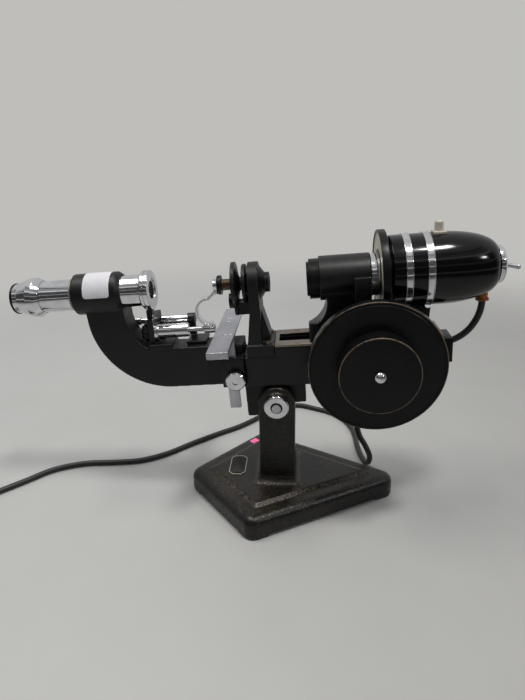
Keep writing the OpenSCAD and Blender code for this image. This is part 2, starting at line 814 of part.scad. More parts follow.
module standard_cell() {
    cone_right = -standard_x + cell_cone_length;
    color(black) on_bench() difference() {
        union() {
            axial(standard_left + 3, -standard_x + 0.02, cell_shank);
            axial_cone(-standard_x + 0.02, cone_right, cell_flange, cell_cap + 0.5);
            axial(cone_right - 0.1, cone_right + cell_cap_length, cell_cap);
        }
        axial(-60, 20, cell_bore);
        axial(cone_right - 2, cone_right + 2, cell_bore + 1 + fit);
    }
}
module stop_flange() {
    color(black) on_bench() difference() {
        union() {
            axial(flange_left + flange_thickness - 0.02, standard_left - 0.02, 8);
            axial(flange_left, flange_left + flange_thickness, flange_radius);
            axial(standard_left - 0.04, standard_left + 2.6, cell_shank);
            block(disc_right + 0.02, standard_left - 1, 1 - lobe_half, lobe_half - 1, bracket_bottom, bracket_top);
            block(disc_right + 0.02, standard_left - 0.02, 1 - lobe_half, lobe_half - 1, axis_z - 22.9, bracket_top);
        }
        axial(flange_left - over, 0, neck_radius + fit);
        axial(disc_right - over, flange_left - 0.02, disc_radius - 3);
    }
}

module stop_disc() {
    color(black) on_bench() difference() {
        union() {
            axial(disc_left, disc_right, disc_radius);
            slab_x(disc_left, disc_right) union() {
                translate([0, axis_z - lobe_drop + lobe_radius]) circle(r = lobe_radius);
                translate([-lobe_half, axis_z - lobe_drop + lobe_radius]) square([2 * lobe_half, lobe_drop - lobe_radius - 8]);
            }
            axial_cone(disc_right - 0.02, disc_right + 3.2, disc_radius - 4, neck_radius);
            axial(disc_right, standard_left - 1, neck_radius);
            axial(collar_left, disc_left + 0.1, collar_radius);
        }
        axial(nose_left, 0, nose_radius + fit);
        rod_x(disc_left - over, disc_right + over, 2 + fit, stop_knob_y, stop_knob_z);
    }
}

module stop_nose() {
    color(bronze) on_bench() difference() {
        axial(nose_left, standard_left - 1.5, nose_radius);
        axial(nose_left - over, standard_left, nose_bore);
    }
}

module stop_knob() {
    color(black) on_bench() {
        rod_x(disc_left - gap - stop_knob_length, disc_left - gap, stop_knob_radius, stop_knob_y, stop_knob_z);
        rod_x(disc_left - gap - 0.1, disc_right - 0.6, 2, stop_knob_y, stop_knob_z);
    }
}

module clamp_bracket() {
    color(black) on_bench() difference() {
        union() {
            block(bracket_left, -bracket_x, -9, marker_y + 7, pad_top + 0.02, 90);
            slab_x(bracket_left, -bracket_x) union() {
                translate([marker_y, marker_z]) circle(r = 7.4);
                polygon([[-6, 80], [6, 80], [4, axis_z - objective_radius - gap], [-4, axis_z - objective_radius - gap]]);
            }
            block(bracket_left, -bracket_x + 6.5, -9, 9, pad_top + 0.02, pad_top + 1.2);
            rod_x(bracket_left - marker_nut, bracket_left + 0.1, 5.1, marker_y, marker_z);
        }
        rod_x(bracket_left - over, -bracket_x + over, barrel_radius - barrel_wall, 0, clamp_z);
        rod_x(-bracket_x, -bracket_x + 7.5, flange_ring + gap, 0, clamp_z);
        rod_x(bracket_left - marker_nut - over, -bracket_x + over, marker_rod_radius + fit, marker_y, marker_z);
    }
}

module clamp_barrel() {
    color(chrome) on_bench() difference() {
        union() {
            rod_x(barrel_left + 0.02, barrel_left + flange_length, flange_ring, 0, clamp_z);
            rod_x(barrel_left + flange_length - 0.1, barrel_right, barrel_radius, 0, clamp_z);
        }
        rod_x(barrel_left - over, barrel_right - 3, barrel_radius - barrel_wall, 0, clamp_z);
        rod_x(barrel_right - 4, barrel_right + over, rod_radius + fit, 0, clamp_z);
    }
}

module clamp_adjuster() {
    right = bracket_left - 0.02;
    color(black) on_bench() difference() {
        union() {
            rod_x(right - adjuster_length, right, adjuster_radius, 0, clamp_z);
            rod_x(right - adjuster_length - 3, right - adjuster_length + 0.1, 7, 0, clamp_z);
            rod_x(right - 0.1, barrel_left + 1.4, barrel_radius - barrel_wall - fit, 0, clamp_z);
        }
        rod_x(right - 2, barrel_left + 3, rod_radius + 1, 0, clamp_z);
    }
}

// Rod with its head inside the barrel; the spring behind the head closes the clamp
module clamp_rod() {
    color(steel) on_bench() union() {
        rod_x(rod_head_x, hub_left + 6, rod_radius, 0, clamp_z);
        rod_x(rod_head_x, rod_head_x + rod_head_length, rod_head, 0, clamp_z);
    }
}

// Open coil: one tube of six sides, eight rings in each turn
function spring_point(t, r, length) = [
    length * t, r * cos(360 * spring_coils * t), r * sin(360 * spring_coils * t)
];
module clamp_spring() {
    x0 = barrel_left + 1.4 + wire_radius + 0.1;
    x1 = rod_head_x - wire_radius - 0.1;
    rings = 8 * spring_coils;
    points = [for (i = [0 : rings]) spring_point(i / rings, spring_radius, x1 - x0)];
    color(steel) on_bench() translate([x0, 0, clamp_z]) sweep_tube(points, wire_radius, 6);
}

module clamp_yoke() {
    strap_half = strap_width / 2;
    bore = rod_radius + fit;
    color(chrome) on_bench() difference() {
        union() {
            rod_x(hub_left, hub_right, clamp_hub_radius, 0, clamp_z);
            slab_y(-strap_half, strap_half) strap_outline();
            axial(ring_left - cap_length, ring_left - 0.02, cap_radius);
        }
        rod_x(hub_left - over, hub_left + 6 + 0.02, bore, 0, clamp_z);
        axial(ring_left - cap_length - over, ring_left + over, 3.4);
        block(ring_left - cap_length - over, ring_left - 2, -1.2, 1.2, axis_z, axis_z + cap_radius + over);
    }
}
// Strap from the hub, round to the left and up to the cap
module strap_outline() {
    top = strap_centre_z + strap_radius;
    difference() {
        translate([strap_centre_x, strap_centre_z]) circle(r = strap_radius);
        translate([strap_centre_x, strap_centre_z]) circle(r = strap_radius - strap_thickness);
        translate([strap_centre_x + 1, strap_centre_z - strap_radius - over]) square([strap_radius + over, 2 * strap_radius + 2 * over]);
    }
    polygon([
        [strap_centre_x - 0.5, top - strap_thickness], [strap_centre_x + 1, top - strap_thickness],
        [ring_left - cap_length + 0.6, axis_z - cap_radius - 2], [ring_left - 0.4, axis_z - cap_radius - 2],
        [ring_left - 0.4, axis_z - cap_radius + 1.4], [ring_left - cap_length, axis_z - cap_radius + 1.4],
        [strap_centre_x - 0.5, top]
    ]);
    translate([strap_centre_x - 2, clamp_z + 2]) square([3, strap_thickness + 2]);
}

module clamp_ring() {
    color(black) on_bench() difference() {
        union() {
            axial_cone(ring_left, ring_left + 1, ring_radius - 0.8, ring_radius);
            axial(ring_left + 0.98, ring_right, ring_radius);
        }
        axial(ring_left - over, ring_right + over, nose_bore + 1.4);
    }
}

module marker_barrel() {
    color(chrome) on_bench() difference() {
        union() {
            cone_x(-bracket_x + 0.02, -bracket_x + 2.5, 3.6, marker_radius, marker_y, marker_z);
            rod_x(-bracket_x + 2.48, marker_right, marker_radius, marker_y, marker_z);
        }
        rod_x(-bracket_x - over, marker_right - 4, marker_rod_radius + fit, marker_y, marker_z);
    }
}

module marker_plunger() {
    rod_end = marker_right - 4 - marker_travel - 1;
    color(chrome) on_bench() union() {
        rod_x(marker_left + marker_grip - 1, rod_end, marker_rod_radius, marker_y, marker_z);
        rod_x(marker_left, marker_left + marker_grip, marker_head, marker_y, marker_z);
    }
}

module barrel_support() {
    right = marker_right + support_length;
    color(black) on_bench() difference() {
        union() {
            rod_x(marker_right - 1, right, support_radius, marker_y, marker_z);
            block(right - support_length, right, marker_y - 3.2, marker_y + 0.4, arm_top + 0.02, marker_z);
            block(right - support_length, right + 13, -5, marker_y - 0.5, arm_top + 0.02, arm_top + 3);
        }
        rod_x(marker_right - over - 1, marker_right + 0.02, marker_radius + fit, marker_y, marker_z);
    }
}

module telescope_tube() {
    color(chrome) on_bench() difference() {
        union() {
            axial(tube_left, tube_right, tube_radius);
            axial(socket_left - 3, socket_left - 0.04, tube_radius + 1.1);
        }
        axial(tube_left - over, tube_right + over, tube_bore);
    }
}

// Fixed glass of the bench: the standard lens, the telescope's front lens and its cross-line disc
module bench_lenses() {
    lens_x = -standard_x + cell_cone_length;
    color(clear_glass) on_bench() {
        intersection() {
            axial(lens_x - 1.9, lens_x + 1.9, cell_bore + 1);
            translate([lens_x - 21, 0, axis_z]) sphere(r = 22.8);
        }
        intersection() {
            axial(tube_right - 7, tube_right - 2, tube_bore - fit);
            translate([tube_right - 32, 0, axis_z]) sphere(r = 29.8);
        }
        axial(tube_left + 30, tube_left + 32, tube_bore - fit);
    }
}

module objective_ring() {
    step = objective_left + 4;
    color(chrome) on_bench() difference() {
        union() {
            axial_cone(objective_left, objective_left + 1.5, objective_radius - 1.5, objective_radius);
            axial(objective_left + 1.48, step, objective_radius);
            axial(step - 0.02, step + 1, objective_radius - 0.8);
            axial(step + 0.98, objective_right, objective_radius);
        }
        axial(objective_left - over, tube_right + 0.3, tube_radius + fit);
        axial(tube_right, objective_right + over, objective_bore);
        axial(objective_right - 1, objective_right + over, objective_bore + 2.7);
    }
}

module focus_ring() {
    color(chrome) on_bench() difference() {
        union() {
            axial_cone(focus_left, focus_left + 11, eyepiece_radius + 0.8, focus_radius);
            axial(focus_left + 10.98, focus_left + 17, focus_radius);
            axial_cone(focus_left + 16.98, focus_right, focus_radius, tube_radius + 0.9);
        }
        axial(tube_left - 0.3, focus_right + over, tube_radius + fit);
        axial(focus_left - over, tube_left, eyepiece_radius + fit);
    }
}

module eyepiece_tube() {
    color(chrome) on_bench() difference() {
        union() {
            axial(guard_right + 0.02, tube_left - 3.6, eyepiece_radius);
            axial(tube_left - 3.7, tube_left + 18, tube_bore - fit);
        }
        axial(guard_left, tube_left + 20, eyepiece_radius - 2.2);
    }
}

module eye_guard() {
    color(bakelite) on_bench() difference() {
        union() {
            axial(guard_left, guard_right, guard_radius);
            axial(guard_right - 0.1, guard_right + 4, eyepiece_radius - 2.2 - fit);
        }
        axial(guard_left - over, guard_right + 6, 8.4);
        axial_cone(guard_left - 0.02, guard_left + 3, guard_radius - 2, 8.4);
    }
}

module eye_lens() {
    color(clear_glass) on_bench() intersection() {
        axial(guard_right + 4.02, guard_right + 9, eyepiece_radius - 2.2 - fit);
        translate([guard_right + 24.6, 0, axis_z]) sphere(r = 20, $fn = 200);
    }
}

module lens_table() {
    half = table_depth / 2;
    color(alloy) on_bench() difference() {
        union() {
            block(table_left, table_right, -half, half, table_top - table_plate, table_top);
            block(table_left, table_right, -half, -half + 2.4, table_top - table_lip, table_top - 0.02);
        }
        for (y = [18, 30]) block(table_left + 7, table_left + 12, y, y + 1.6, table_top - table_plate - over, table_top + over);
        for (x = [0, 1]) rod_z(0, table_top + over, 0.02 + screw_radius - 0.4, bar_left + 2.6 + x * 5, bar_front + 2);
    }
}

module table_bar() {
    color(steel) on_bench() union() {
        block(bar_left, bar_right, bar_front, bar_front + bar_thickness, -bar_drop, table_top - table_plate - 0.02);
        for (x = [0, 1]) rod_z(table_top - table_plate - 0.1, table_top - 0.3, screw_radius - 0.4, bar_left + 2.6 + x * 5, bar_front + 2);
    }
}

module table_guide() {
    color(old_brass) on_bench() difference() {
        block(guide_left, guide_right, guide_front, -arm_half - 0.02, guide_bottom, guide_top);
        block(bar_left - fit, bar_right + fit, bar_front - fit, bar_front + bar_thickness + fit, guide_bottom - over, guide_top + over);
        rod_y(guide_front - over, bar_front + over, 3 + fit, table_knob_x, table_knob_z);
    }
}

module table_knob() {
    color(chrome) on_bench() difference() {
        union() {
            rod_y(table_knob_front + 1, guide_front - 1, table_knob_radius, table_knob_x, table_knob_z);
            translate([table_knob_x, table_knob_front + 1, table_knob_z]) rotate([90, 0, 0]) cylinder(h = 1, r1 = table_knob_radius, r2 = table_knob_radius - 1);
            rod_y(guide_front - 1.1, bar_front - gap, 3, table_knob_x, table_knob_z);
        }
        rod_y(table_knob_front - over, table_knob_front + 1.2, 3, table_knob_x, table_knob_z);
    }
}

module carriage() {
    color(black) on_bench() difference() {
        union() {
            block(carriage_x, carriage_right, -carriage_half, carriage_half, carriage_bottom, carriage_top);
            block(rack_left - 6, rack_right + 4, -key_half, key_half, key_bottom, carriage_bottom + over);
            block(carriage_x, front_wall_right, -carriage_half, front_wall_depth - carriage_half, carriage_top - over, front_wall_top);
            slab_y(-pedestal_half, pedestal_half) difference() {
                translate([carriage_x, carriage_top - over]) square([pedestal_right - carriage_x, axis_z - carriage_top]);
                translate([pedestal_left - pedestal_sweep, axis_z - 20]) circle(r = pedestal_sweep);
                translate([carriage_x - over, axis_z - 20]) square([pedestal_left - carriage_x + over, 30]);
            }
            axial(target_left, target_right, target_radius);
        }
        axial(target_left + spigot_length + 1, target_right + over, target_bore + fit);
        axial(target_left - over, target_left + spigot_length + 1 + over, spigot_radius + fit);
    }
}

// Rack under the carriage: straight-sided teeth that point down at the pinion
module rack_tooth() {
    half = tooth_pitch / 4 - tooth_backlash / 2;
    lean = tan(20) * tooth_module;
    polygon([
        [-half - lean * 1.2, tooth_module * 1.2], [half + lean * 1.2, tooth_module * 1.2],
        [half - lean * 0.85, -tooth_module * 0.85], [-half + lean * 0.85, -tooth_module * 0.85]
    ]);
}
module rack() {
    first = ceil((rack_left + 2 - drum_x) / tooth_pitch - 0.5);
    last = floor((rack_right - 2 - drum_x) / tooth_pitch - 0.5);
    color(steel) on_bench() slab_y(-rack_half, rack_half) union() {
        translate([rack_left, pitch_line + tooth_module * 1.18]) square([rack_right - rack_left, key_bottom - 0.02 - pitch_line - tooth_module * 1.18]);
        for (i = [first : last]) translate([drum_x + (i + 0.5) * tooth_pitch, pitch_line]) rack_tooth();
    }
}

module collimator_ring() {
    ring_left_x = target_left - hood_length;
    color(black) on_bench() difference() {
        union() {
            axial(lip_left, ring_left_x + 0.02, hood_radius - 2.6);
            axial(ring_left_x, target_left - 0.02, hood_radius);
            axial(target_left - 0.1, target_left + spigot_length, spigot_radius);
        }
        axial(lip_left - over, target_left + spigot_length + over, 11.4);
        axial(ring_left_x - 0.5, ring_left_x + 4, 12.6 + fit);
    }
}
module collimator_lens() {
    ring_left_x = target_left - hood_length;
    color(clear_glass) on_bench() intersection() {
        axial(ring_left_x - 0.4, ring_left_x + 3.9, 12.6);
        translate([ring_left_x + 29.4, 0, axis_z]) sphere(r = 29.9, $fn = 200);
    }
}

// Tube that carries the target disc and turns with the axis wheel
module target_spindle() {
    color(chrome) on_bench() union() {
        axial_tube(spindle_left, wheel_right + 1.5, target_bore, spindle_bore);
        axial(spindle_left, spindle_left + 2, spindle_bore + 0.2);
        axial_tube(sleeve_left, wheel_left - 0.02, sleeve_radius, target_bore - 0.5);
    }
}
module axis_wheel() {
    color(black) on_bench() difference() {
        union() {
            axial(wheel_left, wheel_right, wheel_radius);
            axial(wheel_left, wheel_right + 1, target_bore + 4);
        }
        axial(wheel_left - over, wheel_right + 2, target_bore + fit);
        difference() {
            axial(wheel_left + 3, wheel_right + over, wheel_radius - 5);
            axial(wheel_left + 2, wheel_right + 2, target_bore + 5);
        }
    }
}
// Pointer housing on the barrel's lower front, with its round peg towards the wheel
module axis_index() {
    index_z = axis_z - 6;
    color(black) on_bench() difference() {
        union() {
            block(target_right - 16, target_right - 1, -target_radius - 6, -pedestal_half - 0.02, index_z - 12, index_z + 10);
            rod_x(target_right - 1.1, wheel_left - 1.6, 7.4, -target_radius - 2.6, index_z + 0.6);
        }
        axial(target_left, wheel_left + 1, target_radius + 0.02);
    }
}

// Flank of a pinion tooth: the involute of its base circle
function involute(r, base) = let (a = acos(base / r)) tan(a) * 180 / PI - a;
module pinion_outline() {
    base = pinion_radius * cos(20);
    tip = pinion_radius + tooth_module * 0.85;
    root = pinion_radius - tooth_module * 1.15;
    half = (tooth_pitch / 2 - tooth_backlash) / 2 / pinion_radius * 180 / PI;
    steps = 4;
    flank = [for (i = [0 : steps]) let (r = base + (tip - base) * i / steps) [r, half + involute(pinion_radius, base) - involute(r, base)]];
    union() {
        circle(r = root);
        for (i = [0 : pinion_teeth - 1]) rotate(90 + i * 360 / pinion_teeth) polygon(concat(
            [[root * 0.6 * cos(flank[0][1]), -root * 0.6 * sin(flank[0][1])]],
            [for (p = flank) [p[0] * cos(p[1]), -p[0] * sin(p[1])]],
            [for (i = [steps : -1 : 0]) [flank[i][0] * cos(flank[i][1]), flank[i][0] * sin(flank[i][1])]],
            [[root * 0.6 * cos(flank[0][1]), root * 0.6 * sin(flank[0][1])]]
        ));
    }
}

module drum_shaft() {
    color(steel) on_bench() union() {
        rod_y(hub_front - 3, block_half + 2, shaft_radius, drum_x, drum_z);
        translate([drum_x, rack_half + 1, drum_z]) rotate([90, 0, 0]) linear_extrude(2 * rack_half + 2) pinion_outline();
    }
}
module drum_bushes() {
    color(old_brass) on_bench() for (side = [-1, 1]) difference() {
        union() {
            if (side < 0) {
                rod_y(-block_half, -block_half + bush_length, bush_radius, drum_x, drum_z);
                rod_y(-block_half - 3, -block_half - 0.02, bush_flange, drum_x, drum_z);
            } else {
                rod_y(block_half - bush_length, block_half, bush_radius, drum_x, drum_z);
                rod_y(block_half + 0.02, block_half + 2, bush_flange, drum_x, drum_z);
            }
            rod_y(side * block_half - 0.1, side * block_half + 0.1, bush_radius, drum_x, drum_z);
        }
        rod_y(-block_half * 2, block_half * 2, shaft_radius + fit, drum_x, drum_z);
    }
}
module drum_disc() {
    color(black) on_bench() difference() {
        union() {
            rod_y(drum_front, drum_back, drum_radius, drum_x, drum_z);
            rod_y(drum_back - 0.1, -block_half - 3.3, 12, drum_x, drum_z);
        }
        rod_y(drum_front - over, 0, shaft_radius + fit, drum_x, drum_z);
        difference() {
            rod_y(drum_front + 4, drum_back + over, drum_radius - 5, drum_x, drum_z);
            rod_y(drum_front, drum_back + 2, 18, drum_x, drum_z);
        }
    }
}
module drum_hub() {
    color(black) on_bench() difference() {
        union() {
            translate([drum_x, hub_front + 1.2, drum_z]) rotate([90, 0, 0]) cylinder(h = 1.2, r1 = hub_radius, r2 = hub_radius - 1.2);
            rod_y(hub_front + 1.18, drum_front - 0.02, hub_radius, drum_x, drum_z);
        }
        rod_y(hub_front - over, drum_front + over, shaft_radius + fit, drum_x, drum_z);
    }
}
module drum_nut() {
    color(chrome) on_bench() difference() {
        union() {
            rod_y(hub_front - 2, hub_front - 0.02, nut_radius, drum_x, drum_z);
            intersection() {
                rod_y(hub_front - 6, hub_front - 1.9, nut_radius, drum_x, drum_z);
                translate([drum_x, hub_front + 0.6, drum_z]) sphere(r = nut_radius + 0.6);
            }
        }
        rod_y(hub_front - 3 - fit, hub_front + over, shaft_radius + fit, drum_x, drum_z);
    }
}

// Saddle that carries the lamp house on the carriage
module lamp_cradle() {
    color(black) on_bench() difference() {
        slab_y(-cradle_half, cradle_half) polygon([
            [cradle_left, carriage_top + 0.02], [cradle_right - 3, carriage_top + 0.02],
            [cradle_right, axis_z - 20], [cradle_left, axis_z - 20]
        ]);
        translate([0, 0, lamp_lift]) axial(cradle_left - over, cradle_right + over, band_outer + 0.02);
    }
}

// Rounded end of the lamp house: an arc from the straight part to the end ring
function nose_radius_at(t, outer, inner) = inner + (outer - inner) * sqrt(1 - t * t);
module lamp_shell_outline(outer, inner, start, end) {
    steps = 10;
    polygon(concat(
        [[0, start]], [[outer, start]],
        [for (i = [0 : steps]) [nose_radius_at(i / steps, outer, inner), lamp_shoulder - lamp_x + (end - lamp_shoulder + lamp_x) * i / steps]],
        [[0, end]]
    ));
}
module lamp_house() {
    length = lamp_end - lamp_x;
    color(bakelite) on_lamp() difference() {
        translate([lamp_x, 0, axis_z]) rotate([0, 90, 0]) rotate_extrude() lamp_shell_outline(lamp_radius, end_ring_radius - 1.6, 0, length);
        translate([lamp_x, 0, axis_z]) rotate([0, 90, 0]) rotate_extrude()
            lamp_shell_outline(lamp_radius - lamp_wall, end_ring_radius - 1.6 - lamp_wall, 3, length - lamp_wall);
        // Light opening, switch hole, lead hole and the slot for the filter lever
        axial(lamp_x - over, lamp_x + 4, 10);
        axial(lamp_end - 4, lamp_end + over, end_bore + fit);
        rod_z(axis_z - 40, axis_z - 10, grommet_neck + fit, lamp_exit_x, 0);
        block(peg_x - 1.6, peg_x + 1.6, -3.6, 3.6, axis_z + 20, axis_z + 40);
    }
}
module lamp_bands() {
    color(chrome) on_lamp() for (i = [0, 1]) {
        x = band_x + i * band_pitch;
        difference() {
            union() {
                axial(x, x + band_width, band_outer);
                translate([x + band_width / 2, -17, axis_z - 30]) rotate([60, 0, 0]) cylinder(h = 3.4, r = 2.6, center = true);
            }
            axial(x - over, x + band_width + over, lamp_radius + 0.02);
        }
    }
}
module lamp_end_ring() {
    color(chrome) on_lamp() difference() {
        union() {
            axial(lamp_end + 0.02, lamp_end + 3.2, end_ring_radius);
            axial_cone(lamp_end + 3.18, ring_end - 1.2, end_ring_radius, end_ring_radius - 0.9);
            axial_cone(ring_end - 1.22, ring_end, end_ring_radius - 0.9, end_ring_radius - 2.5);
            axial(lamp_end - lamp_wall - 2, lamp_end + 0.1, end_bore);
        }
        axial(lamp_end - 9, ring_end + over, 3);
    }
}
module toggle_bat() {
    reach = toggle_length + 2;
    color(old_brass) on_lamp() translate([toggle_pivot, 0, axis_z]) rotate([0, 90 + toggle_angle, 0]) union() {
        rotate([90, 0, 0]) cylinder(h = 3.2, r = 2.4, center = true);
        cylinder(h = reach, r1 = toggle_radius, r2 = toggle_tip - 0.2);
        translate([0, 0, reach]) sphere(r = toggle_tip);
    }
}
module lamp_bulb() {
    socket_right = lamp_end - lamp_wall - 2.02;
    bulb_radius = 10.5;
    bulb_x = peg_x + 4.5 + bulb_radius;
    color(alloy) on_lamp() difference() {
        union() {
            axial(bulb_x + 14, socket_right, 9);
            axial(bulb_x + 7, bulb_x + 14.1, 6.2);
            translate([bulb_x, 0, axis_z]) sphere(r = bulb_radius);
            axial(socket_right - 14, socket_right - 11, 19);
        }
        for (side = [-1, 1]) rod_x(socket_right - 15, socket_right - 10, 2, side * 14, axis_z);
    }
}

// Peg, saddle plate and coloured glass, drawn up together to clear the beam
module filter_lever() {
    color(cream) on_lamp() {
        rod_z(axis_z + lamp_radius + 1, axis_z + lamp_radius + peg_height - 1.2, peg_radius, peg_x);
        translate([peg_x, 0, axis_z + lamp_radius + peg_height - 1.22]) cylinder(h = 1.2, r1 = peg_radius, r2 = peg_radius - 1.4);
        intersection() {
            difference() {
                axial(peg_x - 5.5, peg_x + 5.5, lamp_radius + 1.6);
                axial(peg_x - 8, peg_x + 8, lamp_radius + 0.02);
            }
            block(peg_x - 6, peg_x + 6, -7, 7, axis_z, axis_z + lamp_radius + 4);
        }
        block(peg_x - 1, peg_x + 1, -3, 3, axis_z + 6, axis_z + lamp_radius + 1);
        axial(peg_x - 1, peg_x + 1, 9);
    }
}

module lamp_grommet() {
    hole = 3.6;
    color(old_brass) on_bench() difference() {
        union() {
            rod_z(lamp_exit[2] - 5.4, lamp_exit[2] - 3.9, 6, lamp_exit_x, 0);
            rod_z(lamp_exit[2] - 4, lamp_exit[2] + 3, grommet_neck, lamp_exit_x, 0);
        }
        rod_z(lamp_exit[2] - 7, lamp_exit[2] + 5, hole, lamp_exit_x, 0);
    }
}

module terminal_box() {
    color(black) on_bench() difference() {
        union() {
            block(box_left, box_right, -box_half, box_half, box_bottom, box_top);
            rod_x(box_right - 0.1, box_right + 0.4, lamp_lead / 2 + 1.6, 0, 48);
        }
        for (y = [-1, 1]) translate([box_right - 0.8, y * (box_half - 3.4), box_bottom + 3.6]) rotate([0, 90, 0]) cylinder(h = 2, r = 1.8);
    }
}

module mains_gland() {
    color(lead_rubber) on_bench() difference() {
        union() {
            rod_z(block_bottom - 3, block_bottom - 0.02, gland_top_radius + 1.5, gland_x, gland_y);
            translate([gland_x, gland_y, block_bottom - gland_length]) cylinder(h = gland_length - 2.9, r1 = gland_end_radius, r2 = gland_top_radius);
        }
        for (i = [0 : 4]) translate([gland_x, gland_y, block_bottom - 5.6 - i * 2.6]) difference() {
            cylinder(h = 1, r = gland_top_radius + 2);
            translate([0, 0, -over]) cylinder(h = 1 + 2 * over, r = gland_end_radius - 0.6);
        }
    }
}

// A tube swept along points: each ring is turned with the path, without twisting
function unit(v) = v / norm(v);
function tangent(p, i) = unit(p[min(i + 1, len(p) - 1)] - p[max(i - 1, 0)]);
function carried(n, t) = unit(n - (n * t) * t);
function normals(p, i = 0, n = undef, list = []) =
    i == len(p) ? list :
    let (t = tangent(p, i), start = abs(t[2]) < 0.9 ? [0, 0, 1] : [0, 1, 0], m = carried(i == 0 ? start : n, t))
    normals(p, i + 1, m, concat(list, [m]));
module sweep_tube(points, r, sides) {
    count = len(points);
    side_dirs = normals(points);
    rings = [for (i = [0 : count - 1]) let (t = tangent(points, i), n = side_dirs[i], b = cross(t, n))
        for (k = [0 : sides - 1]) points[i] + r * (cos(360 * k / sides) * n + sin(360 * k / sides) * b)];
    walls = [for (i = [0 : count - 2]) for (k = [0 : sides - 1])
        let (a = i * sides + k, b = i * sides + (k + 1) % sides)
        each [[a, a + sides, b + sides], [a, b + sides, b]]];
    caps = concat(
        [for (k = [1 : sides - 2]) [0, k, k + 1]],
        [for (k = [1 : sides - 2]) let (e = (count - 1) * sides) [e, e + k + 1, e + k]]
    );
    polyhedron(points = rings, faces = concat(walls, caps));
}
// A smooth curve through every point of a route
function spline(p, i, t) =
    let (a = p[max(i - 1, 0)], b = p[i], c = p[i + 1], d = p[min(i + 2, len(p) - 1)])
    0.5 * (2 * b + (c - a) * t + (2 * a - 5 * b + 4 * c - d) * t * t + (3 * b - a - 3 * c + d) * t * t * t);
function smooth(p, steps) = concat(
    [for (i = [0 : len(p) - 2]) for (s = [0 : steps - 1]) spline(p, i, s / steps)], [p[len(p) - 1]]
);

module lamp_cord() {
    color(lead_rubber) sweep_tube(smooth(lamp_lead_route, 2), lamp_lead / 2, 8);
}
module mains_cord() {
    points = [for (p = smooth(lead_route, lead_steps)) [p[0], p[1], max(p[2], lead_radius)]];
    color(lead_rubber) sweep_tube(points, lead_radius, 8);
}

// Coil: the spiral runs in on the lower layer, climbs in half a turn and runs out on top
function coil_radius(turn) = coil_outer - coil_step * (turn < half_turns ? turn : coil_turns - turn);
function coil_height(turn) = lead_radius + coil_layer * max(0, min(1, (turn - half_turns + 0.25) * 2));
function coil_point(turn) = [
    coil_centre[0] + coil_radius(turn) * cos(coil_start - 360 * turn),
    coil_centre[1] + coil_radius(turn) * sin(coil_start - 360 * turn),
    coil_height(turn)
];
coil_points = concat(
    [coil_point(0) - coil_lead_in * coil_heading],
    [for (i = [0 : coil_turns * coil_rings]) coil_point(i / coil_rings)],
    [coil_point(coil_turns) + coil_lead_out / 2 * coil_heading, coil_point(coil_turns) + coil_lead_out * coil_heading]
);
coil_gaps = [for (i = [0 : len(coil_points) - 1]) for (j = [i + 8 : 1 : len(coil_points) - 1]) norm(coil_points[i] - coil_points[j])];
echo(coil_least_gap = min(coil_gaps) - lead_diameter);
module cord_coil() {
    color(lead_rubber) sweep_tube(coil_points, lead_radius, 6);
}

// Two-blade plug: a tapered sleeve, a grip with a waist and the blades
module mains_plug() {
    at = coil_point(coil_turns) + (coil_lead_out + 0.02) * coil_heading;
    blade_x = plug_sleeve + plug_grip;
    color(bakelite) translate(at) rotate([0, 0, coil_start - 90]) difference() {
        union() {
            cone_x(0, plug_sleeve, lead_radius + 0.8, 6);
            intersection() {
                rod_x(plug_sleeve - 0.1, blade_x, 13);
                block(plug_sleeve - 1, blade_x + 1, -13, 13, -plug_rest, plug_rest);
            }
            for (side = [-1, 1]) block(blade_x - 1, blade_x + 17, side * 6.3 - 0.75, side * 6.3 + 0.75, -3.2, 3.2);
        }
        for (side = [-1, 1]) block(plug_sleeve + 8, plug_sleeve + 18, side * 15 - 3.4, side * 15 + 3.4, -20, 20);
        for (side = [-1, 1]) rod_y(side * 6.3 - 2, side * 6.3 + 2, 1.5, blade_x + 13.5, 0);
    }
}

base_casting();
pivot_bolt();
pivot_knob();
body_casting();
rail_plate();
body_screws();
nameplate();
standard();
standard_cell();
stop_flange();
stop_disc();
stop_nose();
stop_knob();
bench_lenses();
clamp_bracket();
clamp_barrel();
clamp_adjuster();
clamp_rod();
clamp_spring();
clamp_yoke();
clamp_ring();
marker_barrel();
marker_plunger();
barrel_support();
telescope_tube();
objective_ring();
focus_ring();
eyepiece_tube();
eye_guard();
eye_lens();
lens_table();
table_bar();
table_guide();
table_knob();
carriage();
rack();
collimator_ring();
collimator_lens();
target_spindle();
axis_wheel();
axis_index();
drum_disc();
drum_hub();
drum_nut();
drum_shaft();
drum_bushes();
lamp_cradle();
lamp_house();
lamp_bands();
lamp_end_ring();
toggle_bat();
lamp_bulb();
filter_lever();
lamp_grommet();
terminal_box();
lamp_cord();
mains_gland();
mains_cord();
cord_coil();
mains_plug();
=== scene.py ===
import math
import bmesh
import bpy
import numpy as np
from mathutils import Matrix, Vector


